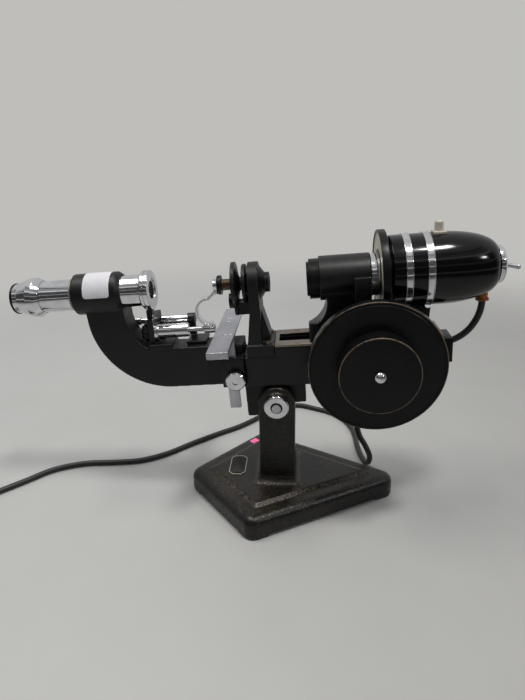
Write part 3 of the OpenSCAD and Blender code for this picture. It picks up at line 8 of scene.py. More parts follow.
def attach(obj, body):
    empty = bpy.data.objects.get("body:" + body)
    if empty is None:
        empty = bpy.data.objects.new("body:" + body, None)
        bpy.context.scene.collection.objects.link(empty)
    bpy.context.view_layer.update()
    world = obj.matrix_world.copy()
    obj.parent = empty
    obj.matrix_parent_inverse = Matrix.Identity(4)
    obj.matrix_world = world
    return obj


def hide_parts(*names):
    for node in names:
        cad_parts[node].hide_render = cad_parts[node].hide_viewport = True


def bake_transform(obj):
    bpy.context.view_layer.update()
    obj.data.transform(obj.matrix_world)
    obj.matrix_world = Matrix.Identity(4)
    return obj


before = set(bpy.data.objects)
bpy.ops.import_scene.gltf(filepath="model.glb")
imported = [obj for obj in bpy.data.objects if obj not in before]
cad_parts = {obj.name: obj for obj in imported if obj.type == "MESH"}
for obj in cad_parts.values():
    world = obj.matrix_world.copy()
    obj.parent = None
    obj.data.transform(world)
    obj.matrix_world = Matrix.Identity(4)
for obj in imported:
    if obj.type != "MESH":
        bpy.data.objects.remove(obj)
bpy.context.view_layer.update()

print("frame loaded")

# Sizes in millimetres, shared with the solids. The bench frame starts at the tilt pivot, and the optical
# axis runs above it. Finishes are kept by name as they are made.
frameX = 19.1871
pivotHeight = 118.0
tilt = math.radians(4.0)
axisZ = 118.0
material = {}


def toFrame(points):
    # Bench millimetres to the shared frame's metres: turned by the tilt about the pivot, then lifted to it.
    p = np.asarray(points, float)
    c, s = math.cos(tilt), math.sin(tilt)
    return np.stack([frameX + p[..., 0] * c - p[..., 2] * s, p[..., 1],
                     pivotHeight + p[..., 0] * s + p[..., 2] * c], -1) / 1000


def toStand(points):
    # Millimetres from the post's middle at the table to the shared frame's metres
    return (np.asarray(points, float) + np.array([frameX, 0, 0])) / 1000


def linear(code):
    # An sRGB colour code as linear colour with alpha.
    out = []
    for i in (0, 2, 4):
        v = int(code[i:i + 2], 16) / 255
        out.append(v / 12.92 if v <= 0.04045 else ((v + 0.055) / 1.055) ** 2.4)
    return (*out, 1.0)


# Camera, solved from the photograph: millimetres and degrees
cameraSpec = dict(place=(42.487, -487.4, 359.4), yaw=4.5, pitch=21.6, roll=1.1, lens=27.05)


def makeCamera(spec):
    # Its axes are a level heading turned down by the pitch and about itself by the roll.
    yaw, pitch, roll = (math.radians(spec[k]) for k in ("yaw", "pitch", "roll"))
    level = np.array([-math.sin(yaw), math.cos(yaw), 0])
    side = np.array([math.cos(yaw), math.sin(yaw), 0])
    up = np.array([0, 0, 1.0])
    forward = math.cos(pitch) * level - math.sin(pitch) * up
    above = math.sin(pitch) * level + math.cos(pitch) * up
    right = math.cos(roll) * side - math.sin(roll) * above
    top = math.sin(roll) * side + math.cos(roll) * above
    data = bpy.data.cameras.new("camera")
    data.sensor_fit = "VERTICAL"
    data.sensor_height = 36.0
    data.lens = spec["lens"]
    data.clip_start = 0.02
    cam = bpy.data.objects.new("camera", data)
    bpy.context.scene.collection.objects.link(cam)
    pose = np.eye(4)
    pose[:3] = np.stack([right, top, -forward, np.array(spec["place"]) / 1000], -1)
    cam.matrix_world = Matrix(pose.tolist())
    bpy.context.scene.camera = cam


makeCamera(cameraSpec)
scene = bpy.context.scene
scene.view_settings.view_transform = "Standard"
print("camera set")


def gridFaces(nu, nv, closeU, closeV):
    # Quads between neighbouring points of a grid, which may close on itself either way
    iu = np.arange(nu if closeU else nu - 1)[:, None]
    iv = np.arange(nv if closeV else nv - 1)[None, :]
    ju, jv = (iu + 1) % nu, (iv + 1) % nv
    return np.stack([iu * nv + iv, iu * nv + jv, ju * nv + jv, ju * nv + iv], -1).reshape(-1, 4)


def meshFrom(name, verts, faces, sharp=35):
    # A mesh object from vertex and quad arrays, with doubled points merged and faces turned outwards.
    me = bpy.data.meshes.new(name)
    me.vertices.add(len(verts))
    me.vertices.foreach_set("co", np.asarray(verts, np.float32).ravel())
    me.loops.add(faces.size)
    me.loops.foreach_set("vertex_index", faces.astype(np.int32).ravel())
    me.polygons.add(len(faces))
    me.polygons.foreach_set("loop_start", np.arange(0, faces.size, 4, dtype=np.int32))
    me.polygons.foreach_set("loop_total", np.full(len(faces), 4, np.int32))
    me.update(calc_edges=True)
    me.validate()
    work = bmesh.new()
    work.from_mesh(me)
    bmesh.ops.remove_doubles(work, verts=work.verts, dist=1e-7)
    bmesh.ops.recalc_face_normals(work, faces=work.faces)
    work.to_mesh(me)
    work.free()
    me.shade_smooth()
    me.set_sharp_from_angle(angle=math.radians(sharp))
    obj = bpy.data.objects.new(name, me)
    scene.collection.objects.link(obj)
    return obj


def finishPiece(obj, body, mat, stands=()):
    # Gives a piece its finish, the body it moves with, and the solids it stands for.
    obj.data.materials.append(mat)
    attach(obj, body)
    if stands:
        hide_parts(*stands)


def rounded(profile, steps=5):
    # Profile points (along, radius, fillet): each corner becomes a curve that starts and ends a fillet away.
    pts = [np.array(p[:2], float) for p in profile]
    out = []
    for i, p in enumerate(profile):
        fillet = p[2] if len(p) > 2 else 0
        if fillet <= 0 or i in (0, len(profile) - 1):
            out.append(pts[i])
            continue
        back, on = pts[i - 1] - pts[i], pts[i + 1] - pts[i]
        backLength, onLength = np.linalg.norm(back), np.linalg.norm(on)
        fillet = min(fillet, backLength * 0.49, onLength * 0.49)
        start, end = pts[i] + back / backLength * fillet, pts[i] + on / onLength * fillet
        for t in np.linspace(0, 1, steps + 1):
            out.append((1 - t) ** 2 * start + 2 * t * (1 - t) * pts[i] + t * t * end)
    return np.array(out)


def lathe(name, spec, body, mat, stands=()):
    # Turned piece: radius times cosine and sine of the angle round the axis, for each profile point.
    # Between two stations, ribs lower the radius by depth times one less a rounded wave of the angle.
    profile = rounded(spec["profile"])
    segments = spec["segments"]
    angle = np.linspace(0, 2 * math.pi, segments, endpoint=False)
    along = np.repeat(profile[:, :1], segments, 1)
    radius = np.repeat(profile[:, 1:2], segments, 1)
    for rib in spec.get("ribs", ()):
        inside = (along >= rib["start"]) & (along <= rib["end"]) & (radius > rib["above"])
        wave = np.abs(np.cos(angle * rib["count"] / 2))[None, :] ** rib["power"]
        radius = radius - inside * rib["depth"] * (1 - wave)
    across, up = radius * np.cos(angle), radius * np.sin(angle)
    cx, cy, cz = centre = spec.get("centre", (0, 0, axisZ))
    if spec.get("axis", "x") == "x":
        grid = np.stack([cx + along, cy + across, cz + up], -1)
    else:
        grid = np.stack([cx + across, cy + along, cz + up], -1)
    place = toStand if spec.get("stand") else toFrame
    faces = gridFaces(len(profile), segments, spec.get("closed", True), True)
    obj = meshFrom(name, place(grid.reshape(-1, 3)), faces, spec.get("sharp", 32))
    finishPiece(obj, body, mat, stands)
    if "paint" in spec:
        paintStations(obj, spec, centre)


def paintStations(obj, spec, centre):
    # A second finish on the faces whose middle lies between two stations and two radii.
    # Their middles are turned back into the millimetres of the profile first.
    me = obj.data
    mid = np.zeros(len(me.polygons) * 3, np.float32)
    me.polygons.foreach_get("center", mid)
    q = mid.reshape(-1, 3) * 1000 - np.array([frameX, 0, 0 if spec.get("stand") else pivotHeight])
    if not spec.get("stand"):
        c, s = math.cos(tilt), math.sin(tilt)
        q = np.stack([q[:, 0] * c + q[:, 2] * s, q[:, 1], q[:, 2] * c - q[:, 0] * s], -1)
    q = q - np.array(centre)
    axis = "xy".index(spec.get("axis", "x"))
    along = q[:, axis]
    radius = np.linalg.norm(np.delete(q, axis, 1), axis=1)
    index = np.zeros(len(me.polygons), np.int32)
    for start, end, low, high, finish in spec["paint"]:
        me.materials.append(material[finish])
        index[(along > start) & (along < end) & (radius > low) & (radius < high)] = len(me.materials) - 1
    me.polygons.foreach_set("material_index", index)
    me.update()


def addNode(tree, kind, inputs=None, **values):
    # Adds a shader node, sets its properties, and sets or links its inputs.
    node = tree.nodes.new(kind)
    for key, value in values.items():
        setattr(node, key, value)
    for key, value in (inputs or {}).items():
        if isinstance(value, bpy.types.NodeSocket):
            tree.links.new(value, node.inputs[key])
        else:
            node.inputs[key].default_value = value
    return node


def calc(tree, operation, a, b=0.0, c=None, clamp=False):
    # One arithmetic node; the third value is for multiply-add.
    inputs = {0: a, 1: b} if c is None else {0: a, 1: b, 2: c}
    return addNode(tree, "ShaderNodeMath", inputs, operation=operation, use_clamp=clamp).outputs[0]


def vectorCalc(tree, operation, a, b=None):
    inputs = {0: a} if b is None else {0: a, 1: b}
    return addNode(tree, "ShaderNodeVectorMath", inputs, operation=operation)


def objectCoords(tree):
    return addNode(tree, "ShaderNodeTexCoord").outputs["Object"]


def splitVector(tree, vector):
    return addNode(tree, "ShaderNodeSeparateXYZ", {0: vector}).outputs


def noiseOf(tree, co, size, detail, roughness=0.5):
    # Noise with features about so many millimetres wide
    return addNode(tree, "ShaderNodeTexNoise", {"Vector": co, "Scale": 1000 / size, "Detail": detail,
                                                "Roughness": roughness}).outputs["Fac"]


def rangeOf(tree, value, start, end, low=0.0, high=1.0, **values):
    # From start to end the value goes from low to high, and it stays within them.
    return addNode(tree, "ShaderNodeMapRange", {"Value": value, "From Min": start, "From Max": end,
                                                "To Min": low, "To Max": high}, **values).outputs[0]


def mixTone(tree, amount, first, second):
    # From the first tone to the second by the amount; a tone is a colour code or a socket.
    first, second = (linear(tone) if isinstance(tone, str) else tone for tone in (first, second))
    return addNode(tree, "ShaderNodeMix", {"Factor": amount, 6: first, 7: second}, data_type="RGBA").outputs[2]


def rampOf(tree, value, stops):
    # Grey levels at given values, joined by straight lines
    node = addNode(tree, "ShaderNodeValToRGB", {0: value})
    elements = node.color_ramp.elements
    for element, (at, level) in ((elements[0], stops[0]), (elements[1], stops[-1])):
        element.position, element.color = at, (level, level, level, 1)
    for at, level in stops[1:-1]:
        elements.new(at).color = (level, level, level, 1)
    return node.outputs[0]


def benchCoords(tree, centre):
    # Object coordinates turned back into bench millimetres, measured from a centre
    mm = vectorCalc(tree, "MULTIPLY", objectCoords(tree), (1000, 1000, 1000)).outputs[0]
    off = vectorCalc(tree, "SUBTRACT", mm, (frameX, 0, pivotHeight)).outputs[0]
    level = addNode(tree, "ShaderNodeVectorRotate", {"Vector": off, "Angle": tilt}, rotation_type="Y_AXIS")
    return splitVector(tree, vectorCalc(tree, "SUBTRACT", level.outputs[0], centre).outputs[0])


def pointLayer(tree, tone, rub, spec, gain, lift):
    # A colour where the surface's pointiness goes from one level to another, broken up by the rub noise
    colour, start, end = spec
    point = addNode(tree, "ShaderNodeNewGeometry").outputs["Pointiness"]
    patches = calc(tree, "MULTIPLY_ADD", rub, gain, lift, True)
    amount = calc(tree, "MULTIPLY", rangeOf(tree, point, start, end), patches, clamp=True)
    return mixTone(tree, amount, tone, colour)


def speckLayer(tree, tone, co, cloud, spec):
    # Specks: a fine noise above a level, thinned by the cloud
    colour, size, start, end = spec
    specks = rangeOf(tree, noiseOf(tree, co, size, 2.0, 0.7), start, end, 0.0, 0.75)
    specks = calc(tree, "MULTIPLY", specks, calc(tree, "MULTIPLY_ADD", cloud, 0.7, 0.3))
    return mixTone(tree, specks, tone, colour)


def settledLayer(tree, tone, rough, rub, cloud, spec):
    # Dull dust by height, as a part of 50 mm, times the rub noise and the cloud
    colour, stops = spec
    height = rangeOf(tree, splitVector(tree, objectCoords(tree))["Z"], 0.0, 0.05)
    patches = calc(tree, "MULTIPLY_ADD", rub, 4.2, -1.55, True)
    patches = calc(tree, "MULTIPLY", patches, calc(tree, "MULTIPLY_ADD", cloud, 0.5, 0.6))
    held = calc(tree, "MULTIPLY", rampOf(tree, height, stops), patches, clamp=True)
    rough = calc(tree, "MAXIMUM", rough, calc(tree, "MULTIPLY", held, 0.8))
    return mixTone(tree, held, tone, colour), rough


def finishMaterial(name, spec):
    # One painted, plated, oiled or moulded finish. Colour is a mix of two tones by a cloudy noise, roughness
    # follows a second noise, and the bump is fine noise over a coarser one. Wear and dust lie over these.
    mat = bpy.data.materials.new(name)
    mat.use_nodes = True
    tree = mat.node_tree
    tree.nodes.clear()
    out = addNode(tree, "ShaderNodeOutputMaterial")
    co = objectCoords(tree)
    if "stretch" in spec:
        co = vectorCalc(tree, "MULTIPLY", co, spec["stretch"]).outputs[0]
    cloud = noiseOf(tree, co, spec["cloud"], 5.0, 0.62)
    cloud = rangeOf(tree, cloud, spec.get("low", 0.42), spec.get("high", 0.72))
    rub = noiseOf(tree, co, spec["rub"], 4.0, 0.6)
    tone = mixTone(tree, cloud, spec["colour"], spec.get("second", spec["colour"]))
    rough = rangeOf(tree, rub, 0.3, 0.7, *spec["rough"])
    if "worn" in spec:
        tone = pointLayer(tree, tone, rub, spec["worn"], 2.6, -0.75)
    if "dust" in spec:
        tone = pointLayer(tree, tone, rub, spec["dust"], 2.2, -0.5)
    if "speckle" in spec:
        tone = speckLayer(tree, tone, co, cloud, spec["speckle"])
    if "settled" in spec:
        tone, rough = settledLayer(tree, tone, rough, rub, cloud, spec["settled"])
    values = {"Base Color": tone, "Roughness": rough, "Metallic": spec.get("metal", 0.0)}
    if "coat" in spec:
        values["Coat Weight"], values["Coat Roughness"] = spec["coat"]
    if "clear" in spec:
        values.update({"Transmission Weight": spec["clear"], "IOR": 1.5})
    if "soft" in spec:
        values.update({"Subsurface Weight": spec["soft"], "Subsurface Scale": 0.002})
    if "glow" in spec:
        values["Specular IOR Level"] = spec["glow"]
    shader = addNode(tree, "ShaderNodeBsdfPrincipled", values)
    if "bump" in spec:
        size, depth = spec["bump"]
        fine = noiseOf(tree, co, size, 3.0, 0.55)
        both = calc(tree, "MULTIPLY_ADD", noiseOf(tree, co, size * 5, 2.0), 0.6, fine)
        bump = addNode(tree, "ShaderNodeBump", {"Strength": 1.0, "Distance": depth / 1000, "Height": both})
        tree.links.new(bump.outputs[0], shader.inputs["Normal"])
    tree.links.new(shader.outputs[0], out.inputs[0])
    material[name] = mat
    return mat


def markOver(mat, amount, code):
    # Lays a colour over a finish where the amount is one.
    tree = mat.node_tree
    shader = next(n for n in tree.nodes if n.type == "BSDF_PRINCIPLED")
    tone = shader.inputs["Base Color"].links[0].from_socket
    tree.links.new(mixTone(tree, amount, tone, code), shader.inputs["Base Color"])


def dialMaterial(name, spec):
    # Pale enamel with dark ticks: a tick where the angle round the axis, times the count, is near a whole turn
    mat = finishMaterial(name, spec)
    tree = mat.node_tree
    co = benchCoords(tree, (0, 0, axisZ))
    angle = calc(tree, "ARCTAN2", co["Y"], co["Z"])
    part = calc(tree, "FRACT", calc(tree, "MULTIPLY", angle, spec["ticks"] / (2 * math.pi)))
    near = calc(tree, "LESS_THAN", part, spec["wide"])
    squares = [calc(tree, "MULTIPLY", co[k], co[k]) for k in "YZ"]
    outside = calc(tree, "GREATER_THAN", calc(tree, "SQRT", calc(tree, "ADD", *squares)), spec["start"])
    markOver(mat, calc(tree, "MULTIPLY", near, outside), spec["mark"])


def plateMaterial(name, spec):
    # Etched plate with a pale border, where a point is near the edge. How far inside the plate it is, is the
    # least of the distances to the long, short and cut edges.
    mat = finishMaterial(name, spec)
    tree = mat.node_tree
    x, y = spec["centre"]
    mm = vectorCalc(tree, "MULTIPLY", objectCoords(tree), (1000, 1000, 1000)).outputs[0]
    away = vectorCalc(tree, "SUBTRACT", mm, (frameX + x, y, 0)).outputs[0]
    away = splitVector(tree, vectorCalc(tree, "ABSOLUTE", away).outputs[0])
    insideX = calc(tree, "SUBTRACT", spec["half"][0], away["X"])
    insideY = calc(tree, "SUBTRACT", spec["half"][1], away["Y"])
    insideCut = calc(tree, "SUBTRACT", spec["cut"], calc(tree, "ADD", away["X"], away["Y"]))
    insideCut = calc(tree, "MULTIPLY", insideCut, 0.707)
    inside = calc(tree, "MINIMUM", calc(tree, "MINIMUM", insideX, insideY), insideCut)
    markOver(mat, calc(tree, "LESS_THAN", inside, spec["rim"]), spec["border"])


finishes = dict(
    # Coarse crinkle enamel of the base, with brown dust on its step and round the post's foot
    baseEnamel=dict(
        colour="0a0a0b", second="15130f", cloud=22, low=0.4, high=0.66, rub=3, rough=(0.25, 0.38), glow=0.34,
        worn=("6e604c", 0.53, 0.6), dust=("4f4334", 0.49, 0.45), speckle=("4c4236", 2.2, 0.55, 0.72),
        bump=(2.0, 0.34), settled=("54483a", [
            (0.0, 0), (0.44, 0), (0.474, 0.16), (0.485, 0.2), (0.495, 0.72), (0.528, 0.7), (0.54, 0.06),
            (0.56, 0.42), (0.66, 0.12), (0.8, 0)])),
    # Satin enamel of the bench castings
    benchEnamel=dict(colour="0a0a0c", second="101012", glow=0.33, cloud=30, rub=6, rough=(0.34, 0.48),
                     worn=("4a4034", 0.53, 0.60), bump=(0.9, 0.05)),
    # Smoother satin black of turned and small parts
    satinBlack=dict(colour="09090b", second="0f0f11", glow=0.2, cloud=20, rub=5, rough=(0.26, 0.4),
                    bump=(0.6, 0.012)),
    # Satin black on castings, whose edges have lost some paint
    castBlack=dict(colour="0a0a0c", second="101012", glow=0.36, cloud=20, rub=5, rough=(0.32, 0.46),
                   worn=("5a4c3a", 0.56, 0.64), bump=(0.9, 0.03)),
    # Polished chrome plate, lightly smeared
    chrome=dict(colour="d9dadc", second="c4c5c8", metal=1.0, cloud=14, rub=5, rough=(0.05, 0.16),
                bump=(2.5, 0.004)),
    # Machined steel under a brown oil film
    oiledSteel=dict(colour="8a8178", second="665c51", metal=1.0, cloud=16, rub=3, rough=(0.28, 0.5),
                    stretch=(0.12, 1, 1), bump=(0.8, 0.01)),
    # Satin aluminium of the lens table and small rods
    satinAlloy=dict(colour="b9bac0", second="a7a8ae", metal=1.0, cloud=12, rub=2.5, rough=(0.32, 0.46),
                    bump=(0.5, 0.006)),
    # Old brass with a dull skin
    oldBrass=dict(colour="8f7a4e", second="5f4f35", metal=1.0, cloud=6, rub=2, rough=(0.3, 0.52),
                  bump=(0.6, 0.01)),
    # Dark bronze lens rest
    darkBronze=dict(colour="4f4536", second="352d22", metal=0.85, cloud=6, rub=2, rough=(0.35, 0.5),
                    bump=(0.5, 0.01)),
    # Polished black bakelite
    bakelite=dict(colour="040405", second="060608", glow=0.28, cloud=40, rub=9, rough=(0.09, 0.16),
                  coat=(0.06, 0.08), bump=(6, 0.004)),
    # Black rubber of the leads
    leadRubber=dict(colour="17171a", second="1f1f22", cloud=20, rub=5, rough=(0.4, 0.55), bump=(1.2, 0.02)),
    # Clear coated glass
    clearGlass=dict(colour="f2f6f6", clear=0.95, rough=(0.01, 0.03), cloud=20, rub=9),
    # Cream translucent plastic of the filter peg
    creamPlastic=dict(colour="d6d3c8", second="c3beae", soft=0.3, clear=0.35, rough=(0.2, 0.32),
                      cloud=5, rub=3),
    # Aged brown rubber of the grommet
    brownRubber=dict(colour="9a5a22", second="6f3e18", rough=(0.55, 0.75), cloud=4, rub=2, bump=(0.8, 0.02)),
    # Blank white paper of the label
    paper=dict(colour="cdcdd4", second="c4c4cc", rough=(0.5, 0.62), cloud=9, rub=4, bump=(0.5, 0.004)),
    # Fluorescent pink sticker, blank
    pinkPaper=dict(colour="ff74b4", second="f765a8", rough=(0.5, 0.6), cloud=9, rub=4),
    # Grey-green varnished collar
    socketCollar=dict(colour="8d9085", second="74776c", metal=0.5, cloud=5, rub=2, rough=(0.3, 0.45),
                      bump=(0.5, 0.01)),
    # Brown worn line where paint has gone from an edge
    wornEdge=dict(colour="171616", second="5e4f40", metal=0.3, cloud=7, low=0.36, high=0.52, rub=2,
                  rough=(0.3, 0.5), bump=(0.6, 0.02)))
for name, spec in finishes.items():
    finishMaterial(name, spec)
# Cream enamel of the axis wheel's face
dialMaterial("dialFace", dict(colour="b9b5a6", second="a5a092", rough=(0.4, 0.5), cloud=9, rub=4,
                              bump=(0.6, 0.005), ticks=72, wide=0.09, start=34.2, mark="222222"))
# Dark varnished brass of the plate on the base
plateMaterial("darkPlate", dict(colour="1c1b19", second="35322c", metal=0.6, rough=(0.3, 0.45), cloud=5, rub=2,
                                bump=(0.5, 0.01), centre=(-44.4, 3.4), half=(9, 18), cut=22.5, rim=0.8,
                                border="b9b3a4"))
print("materials made")

# Finish of every solid that is shown as it is
finishOf = dict(
    base_casting="baseEnamel", nameplate="darkPlate", pivot_bolt="satinAlloy", pivot_knob="chrome",
    body_casting="benchEnamel", rail_plate="oiledSteel", body_screws="oiledSteel", standard="benchEnamel",
    standard_cell="satinBlack", stop_flange="castBlack", stop_disc="castBlack", stop_nose="darkBronze",
    stop_knob="satinBlack", bench_lenses="clearGlass", clamp_bracket="castBlack", clamp_barrel="chrome",
    clamp_adjuster="satinBlack", clamp_rod="satinAlloy", clamp_spring="oiledSteel", clamp_yoke="chrome",
    clamp_ring="satinBlack", marker_barrel="chrome", marker_plunger="chrome", barrel_support="castBlack",
    telescope_tube="chrome", objective_ring="chrome", focus_ring="chrome", eyepiece_tube="chrome",
    eye_guard="bakelite", eye_lens="clearGlass", lens_table="satinAlloy", table_bar="satinAlloy",
    table_guide="castBlack", table_knob="chrome", carriage="castBlack", rack="oiledSteel",
    collimator_ring="satinBlack", collimator_lens="clearGlass", target_spindle="chrome",
    axis_wheel="satinBlack", axis_index="castBlack", drum_disc="satinBlack", drum_hub="satinBlack",
    drum_nut="chrome", drum_shaft="oiledSteel", drum_bushes="oldBrass", lamp_cradle="castBlack",
    lamp_house="bakelite", lamp_bands="chrome", lamp_end_ring="chrome", toggle_bat="satinAlloy",
    lamp_bulb="satinAlloy", filter_lever="creamPlastic", lamp_grommet="brownRubber",
    terminal_box="satinBlack", lamp_cord="leadRubber", mains_gland="leadRubber", mains_cord="leadRubber",
    cord_coil="leadRubber", mains_plug="bakelite")
for nodeName, finish in finishOf.items():
    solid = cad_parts[nodeName]
    solid.data.materials.clear()
    solid.data.materials.append(material[finish])
print("finishes given")


def catmull(points, per=14):
    # A smooth curve through every point: cubic weights of four neighbours.
    p = np.array(points, float)
    p = np.vstack([p[0], p, p[-1]])
    t = np.linspace(0, 1, per, endpoint=False)[:, None]
    rows = []
    for i in range(1, len(p) - 2):
        a, b, c, d = p[i - 1:i + 3]
        rows.append(0.5 * (2 * b + (c - a) * t + (2 * a - 5 * b + 4 * c - d) * t ** 2
                           + (3 * b - a - 3 * c + d) * t ** 3))
    return np.vstack(rows + [p[-1:]])


def evenly(path, step):
    # The same path with points about a step apart, and its length
    gap = np.linalg.norm(np.diff(path, axis=0), axis=1)
    way = np.concatenate([[0], np.cumsum(gap)])
    count = max(2, int(round(way[-1] / step)) + 1)
    at = np.linspace(0, way[-1], count)
    return np.stack([np.interp(at, way, path[:, i]) for i in range(3)], -1), way[-1]


def tubeGrid(path, radius, sides):
    # Rings round a path: each ring's side direction is carried along without twisting.
    ahead = np.gradient(path, axis=0)
    ahead /= np.linalg.norm(ahead, axis=1)[:, None]
    side = np.zeros_like(path)
    v = np.array([0, 0, 1.0]) if abs(ahead[0][2]) < 0.9 else np.array([0, 1.0, 0])
    for i in range(len(path)):
        v = v - (v @ ahead[i]) * ahead[i]
        v /= np.linalg.norm(v)
        side[i] = v
    other = np.cross(ahead, side)
    angle = np.linspace(0, 2 * math.pi, sides, endpoint=False)[None, :, None]
    return path[:, None] + radius * (np.cos(angle) * side[:, None] + np.sin(angle) * other[:, None])


def coilPath(spec, radius):
    # The coil runs in on the table for half its turns, climbs in half a turn, and runs out on top.
    turn = np.linspace(0, spec["turns"], spec["turns"] * 72 + 1)
    half = spec["turns"] / 2
    reach = spec["outer"] - spec["step"] * np.where(turn < half, turn, spec["turns"] - turn)
    z = radius + spec["layer"] * np.clip((turn - half + 0.25) * 2, 0, 1)
    angle = np.radians(spec["start"] - 360 * turn)
    x, y = spec["centre"]
    return np.stack([x + reach * np.cos(angle), y + reach * np.sin(angle), z], -1)


# Mains lead: from under the bench to the table, round behind the stand, and into a coil with a plug.
# Its route has the same points as the solid, in millimetres, measured from the stand.
leadSpec = dict(
    diameter=6.4, step=2.2, sides=16, slack=0.02, left=-390.6, back=197, tableTop=14,
    gland=(80, 12, -7.4), below=(0.15, 4, 14),
    drop=[(82.6, 16, 88), (84.6, 21, 71), (89, 27, 54), (97, 34, 37), (103.4, 41, 20), (104, 46, 8.5),
          (100.6, 52.5, 3.4)],
    floor=[(96.6, 68), (94.6, 88), (94, 110), (91, 133), (82, 155), (66, 173), (46, 184), (22, 194), (-2, 190),
           (-20, 176), (-36, 154), (-58, 130), (-86, 108), (-114, 84), (-140, 60), (-168, 44), (-200, 38),
           (-234, 34), (-266, 20), (-290, -4)])
coilSpec = dict(centre=(frameX - 368, -32), outer=42, layer=6.9, step=7.0, start=-33, turns=5,
                leadIn=(26, 14, 7), leadOut=(10, 20))


def leadPoints(spec, turns):
    # The lead's middle line in millimetres, kept on the table and inside the solid's box
    radius = spec["diameter"] / 2
    coil = coilPath(turns, radius)
    start = math.radians(turns["start"])
    heading = np.array([math.sin(start), -math.cos(start), 0])
    x, y, z = spec["gland"]
    route = [toFrame([x, y, z - d]) * 1000 for d in spec["below"]]
    route += [[p[0] + frameX, p[1], p[2]] for p in spec["drop"]]
    route += [[p[0] + frameX, p[1], radius] for p in spec["floor"]]
    route += [coil[0] - d * heading for d in turns["leadIn"]]
    leadOut = [coil[-1] + d * heading for d in turns["leadOut"]]
    path = np.vstack([catmull(route), coil, leadOut])
    path[:, 0] = np.maximum(path[:, 0], spec["left"] + radius)
    path[:, 1] = np.minimum(path[:, 1], spec["back"] - radius)
    path[:, 2] = np.maximum(path[:, 2], radius)
    return route[0], *evenly(path, spec["step"])


exitPoint, leadPath, leadLength = leadPoints(leadSpec, coilSpec)
print("mains lead", round(leadLength), "mm")
grid = tubeGrid(leadPath, leadSpec["diameter"] / 2 - leadSpec["slack"], leadSpec["sides"])
faces = gridFaces(len(leadPath), leadSpec["sides"], False, True)
lead = meshFrom("mainsLead", grid.reshape(-1, 3) / 1000, faces)
lead.data.materials.append(material["leadRubber"])
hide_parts("mains_cord", "cord_coil")
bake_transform(lead)

# Short lamp lead between the grommet and the terminal box, in bench millimetres
lampLeadSpec = dict(radius=3.18, step=1.2, sides=16, blendStart=(196, 0, 80), blendEnd=(176, 0, 50), route=[
    (198, 0, 92.5), (198, 0, 85), (197, 0, 77), (193.8, 0, 68), (188.4, 0, 59.5), (181.6, 0, 53.2),
    (175, 0, 49.4), (170.42, 0, 48)])
lampPath = evenly(catmull(lampLeadSpec["route"]), lampLeadSpec["step"])[0]
grid = toFrame(tubeGrid(lampPath, lampLeadSpec["radius"], lampLeadSpec["sides"]).reshape(-1, 3))
lampLead = meshFrom("lampLead", grid, gridFaces(len(lampPath), lampLeadSpec["sides"], False, True))
lampLead.data.materials.append(material["leadRubber"])
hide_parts("lamp_cord")
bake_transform(lampLead)
print("leads made")


def castSurface(nodeName, voxel, passes):
    # Rounds a casting's edges: its solid is read as even cells and relaxed a few times.
    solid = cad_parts[nodeName]
    cells = solid.modifiers.new("cells", "REMESH")
    cells.mode = "VOXEL"
    cells.voxel_size = voxel / 1000
    cells.use_smooth_shade = True
    relax = solid.modifiers.new("relax", "SMOOTH")
    relax.factor = 0.5
    relax.iterations = passes


def bevelled(nodeName, width, segments=2, angle=32):
    # Breaks a solid's sharp edges with a narrow rounded bevel.
    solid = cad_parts[nodeName]
    solid.modifiers.new("weld", "WELD").merge_threshold = 1e-6
    bevel = solid.modifiers.new("bevel", "BEVEL")
    bevel.width = width / 1000
    bevel.segments = segments
    bevel.limit_method = "ANGLE"
    bevel.angle_limit = math.radians(angle)
    solid.data.shade_smooth()


# Cell size in millimetres and relaxing passes of each casting
castings = dict(
    base_casting=(0.9, 7), body_casting=(0.9, 4), standard=(0.7, 2), carriage=(0.8, 1), lamp_cradle=(0.7, 2),
    stop_disc=(0.5, 1), stop_flange=(0.5, 1), clamp_bracket=(0.5, 2), barrel_support=(0.5, 1),
    axis_index=(0.5, 1), clamp_yoke=(0.3, 2), lens_table=(0.5, 2))
for nodeName, (voxel, passes) in castings.items():
    castSurface(nodeName, voxel, passes)
for nodeName in ("rail_plate", "table_bar", "table_guide", "terminal_box", "nameplate", "mains_plug"):
    bevelled(nodeName, 0.4)
print("castings softened")

# Turned pieces with rounded edges, each in place of its solid

# Telescope: tube with the thin collar at its socket
lathe("telescopeTube", dict(segments=128, profile=[
    (-236.5, 13.8), (-236.5, 15.4, 0.3), (-191.3, 15.4), (-191.3, 16.5, 0.5), (-188.34, 16.5, 0.5),
    (-188.34, 15.4), (-117.8, 15.4, 0.3), (-117.8, 13.8)],
    paint=[(-191.4, -188.3, 15.45, 17, "socketCollar")]), "bench", material["chrome"], ["telescope_tube"])
# Front ring: flat face, stepped bore and one groove
lathe("frontRing", dict(segments=128, profile=[
    (-122.1, 15.45), (-122.1, 17.5, 0.4), (-120.6, 19, 0.7), (-118.1, 19, 0.3), (-118.1, 18.2), (-117.1, 18.2),
    (-117.1, 19, 0.3), (-113.3, 19, 0.7), (-113.3, 11.4, 0.25), (-114.3, 11.4), (-114.3, 8.7, 0.25),
    (-117.5, 8.7), (-117.5, 15.45)]), "bench", material["chrome"], ["objective_ring"])
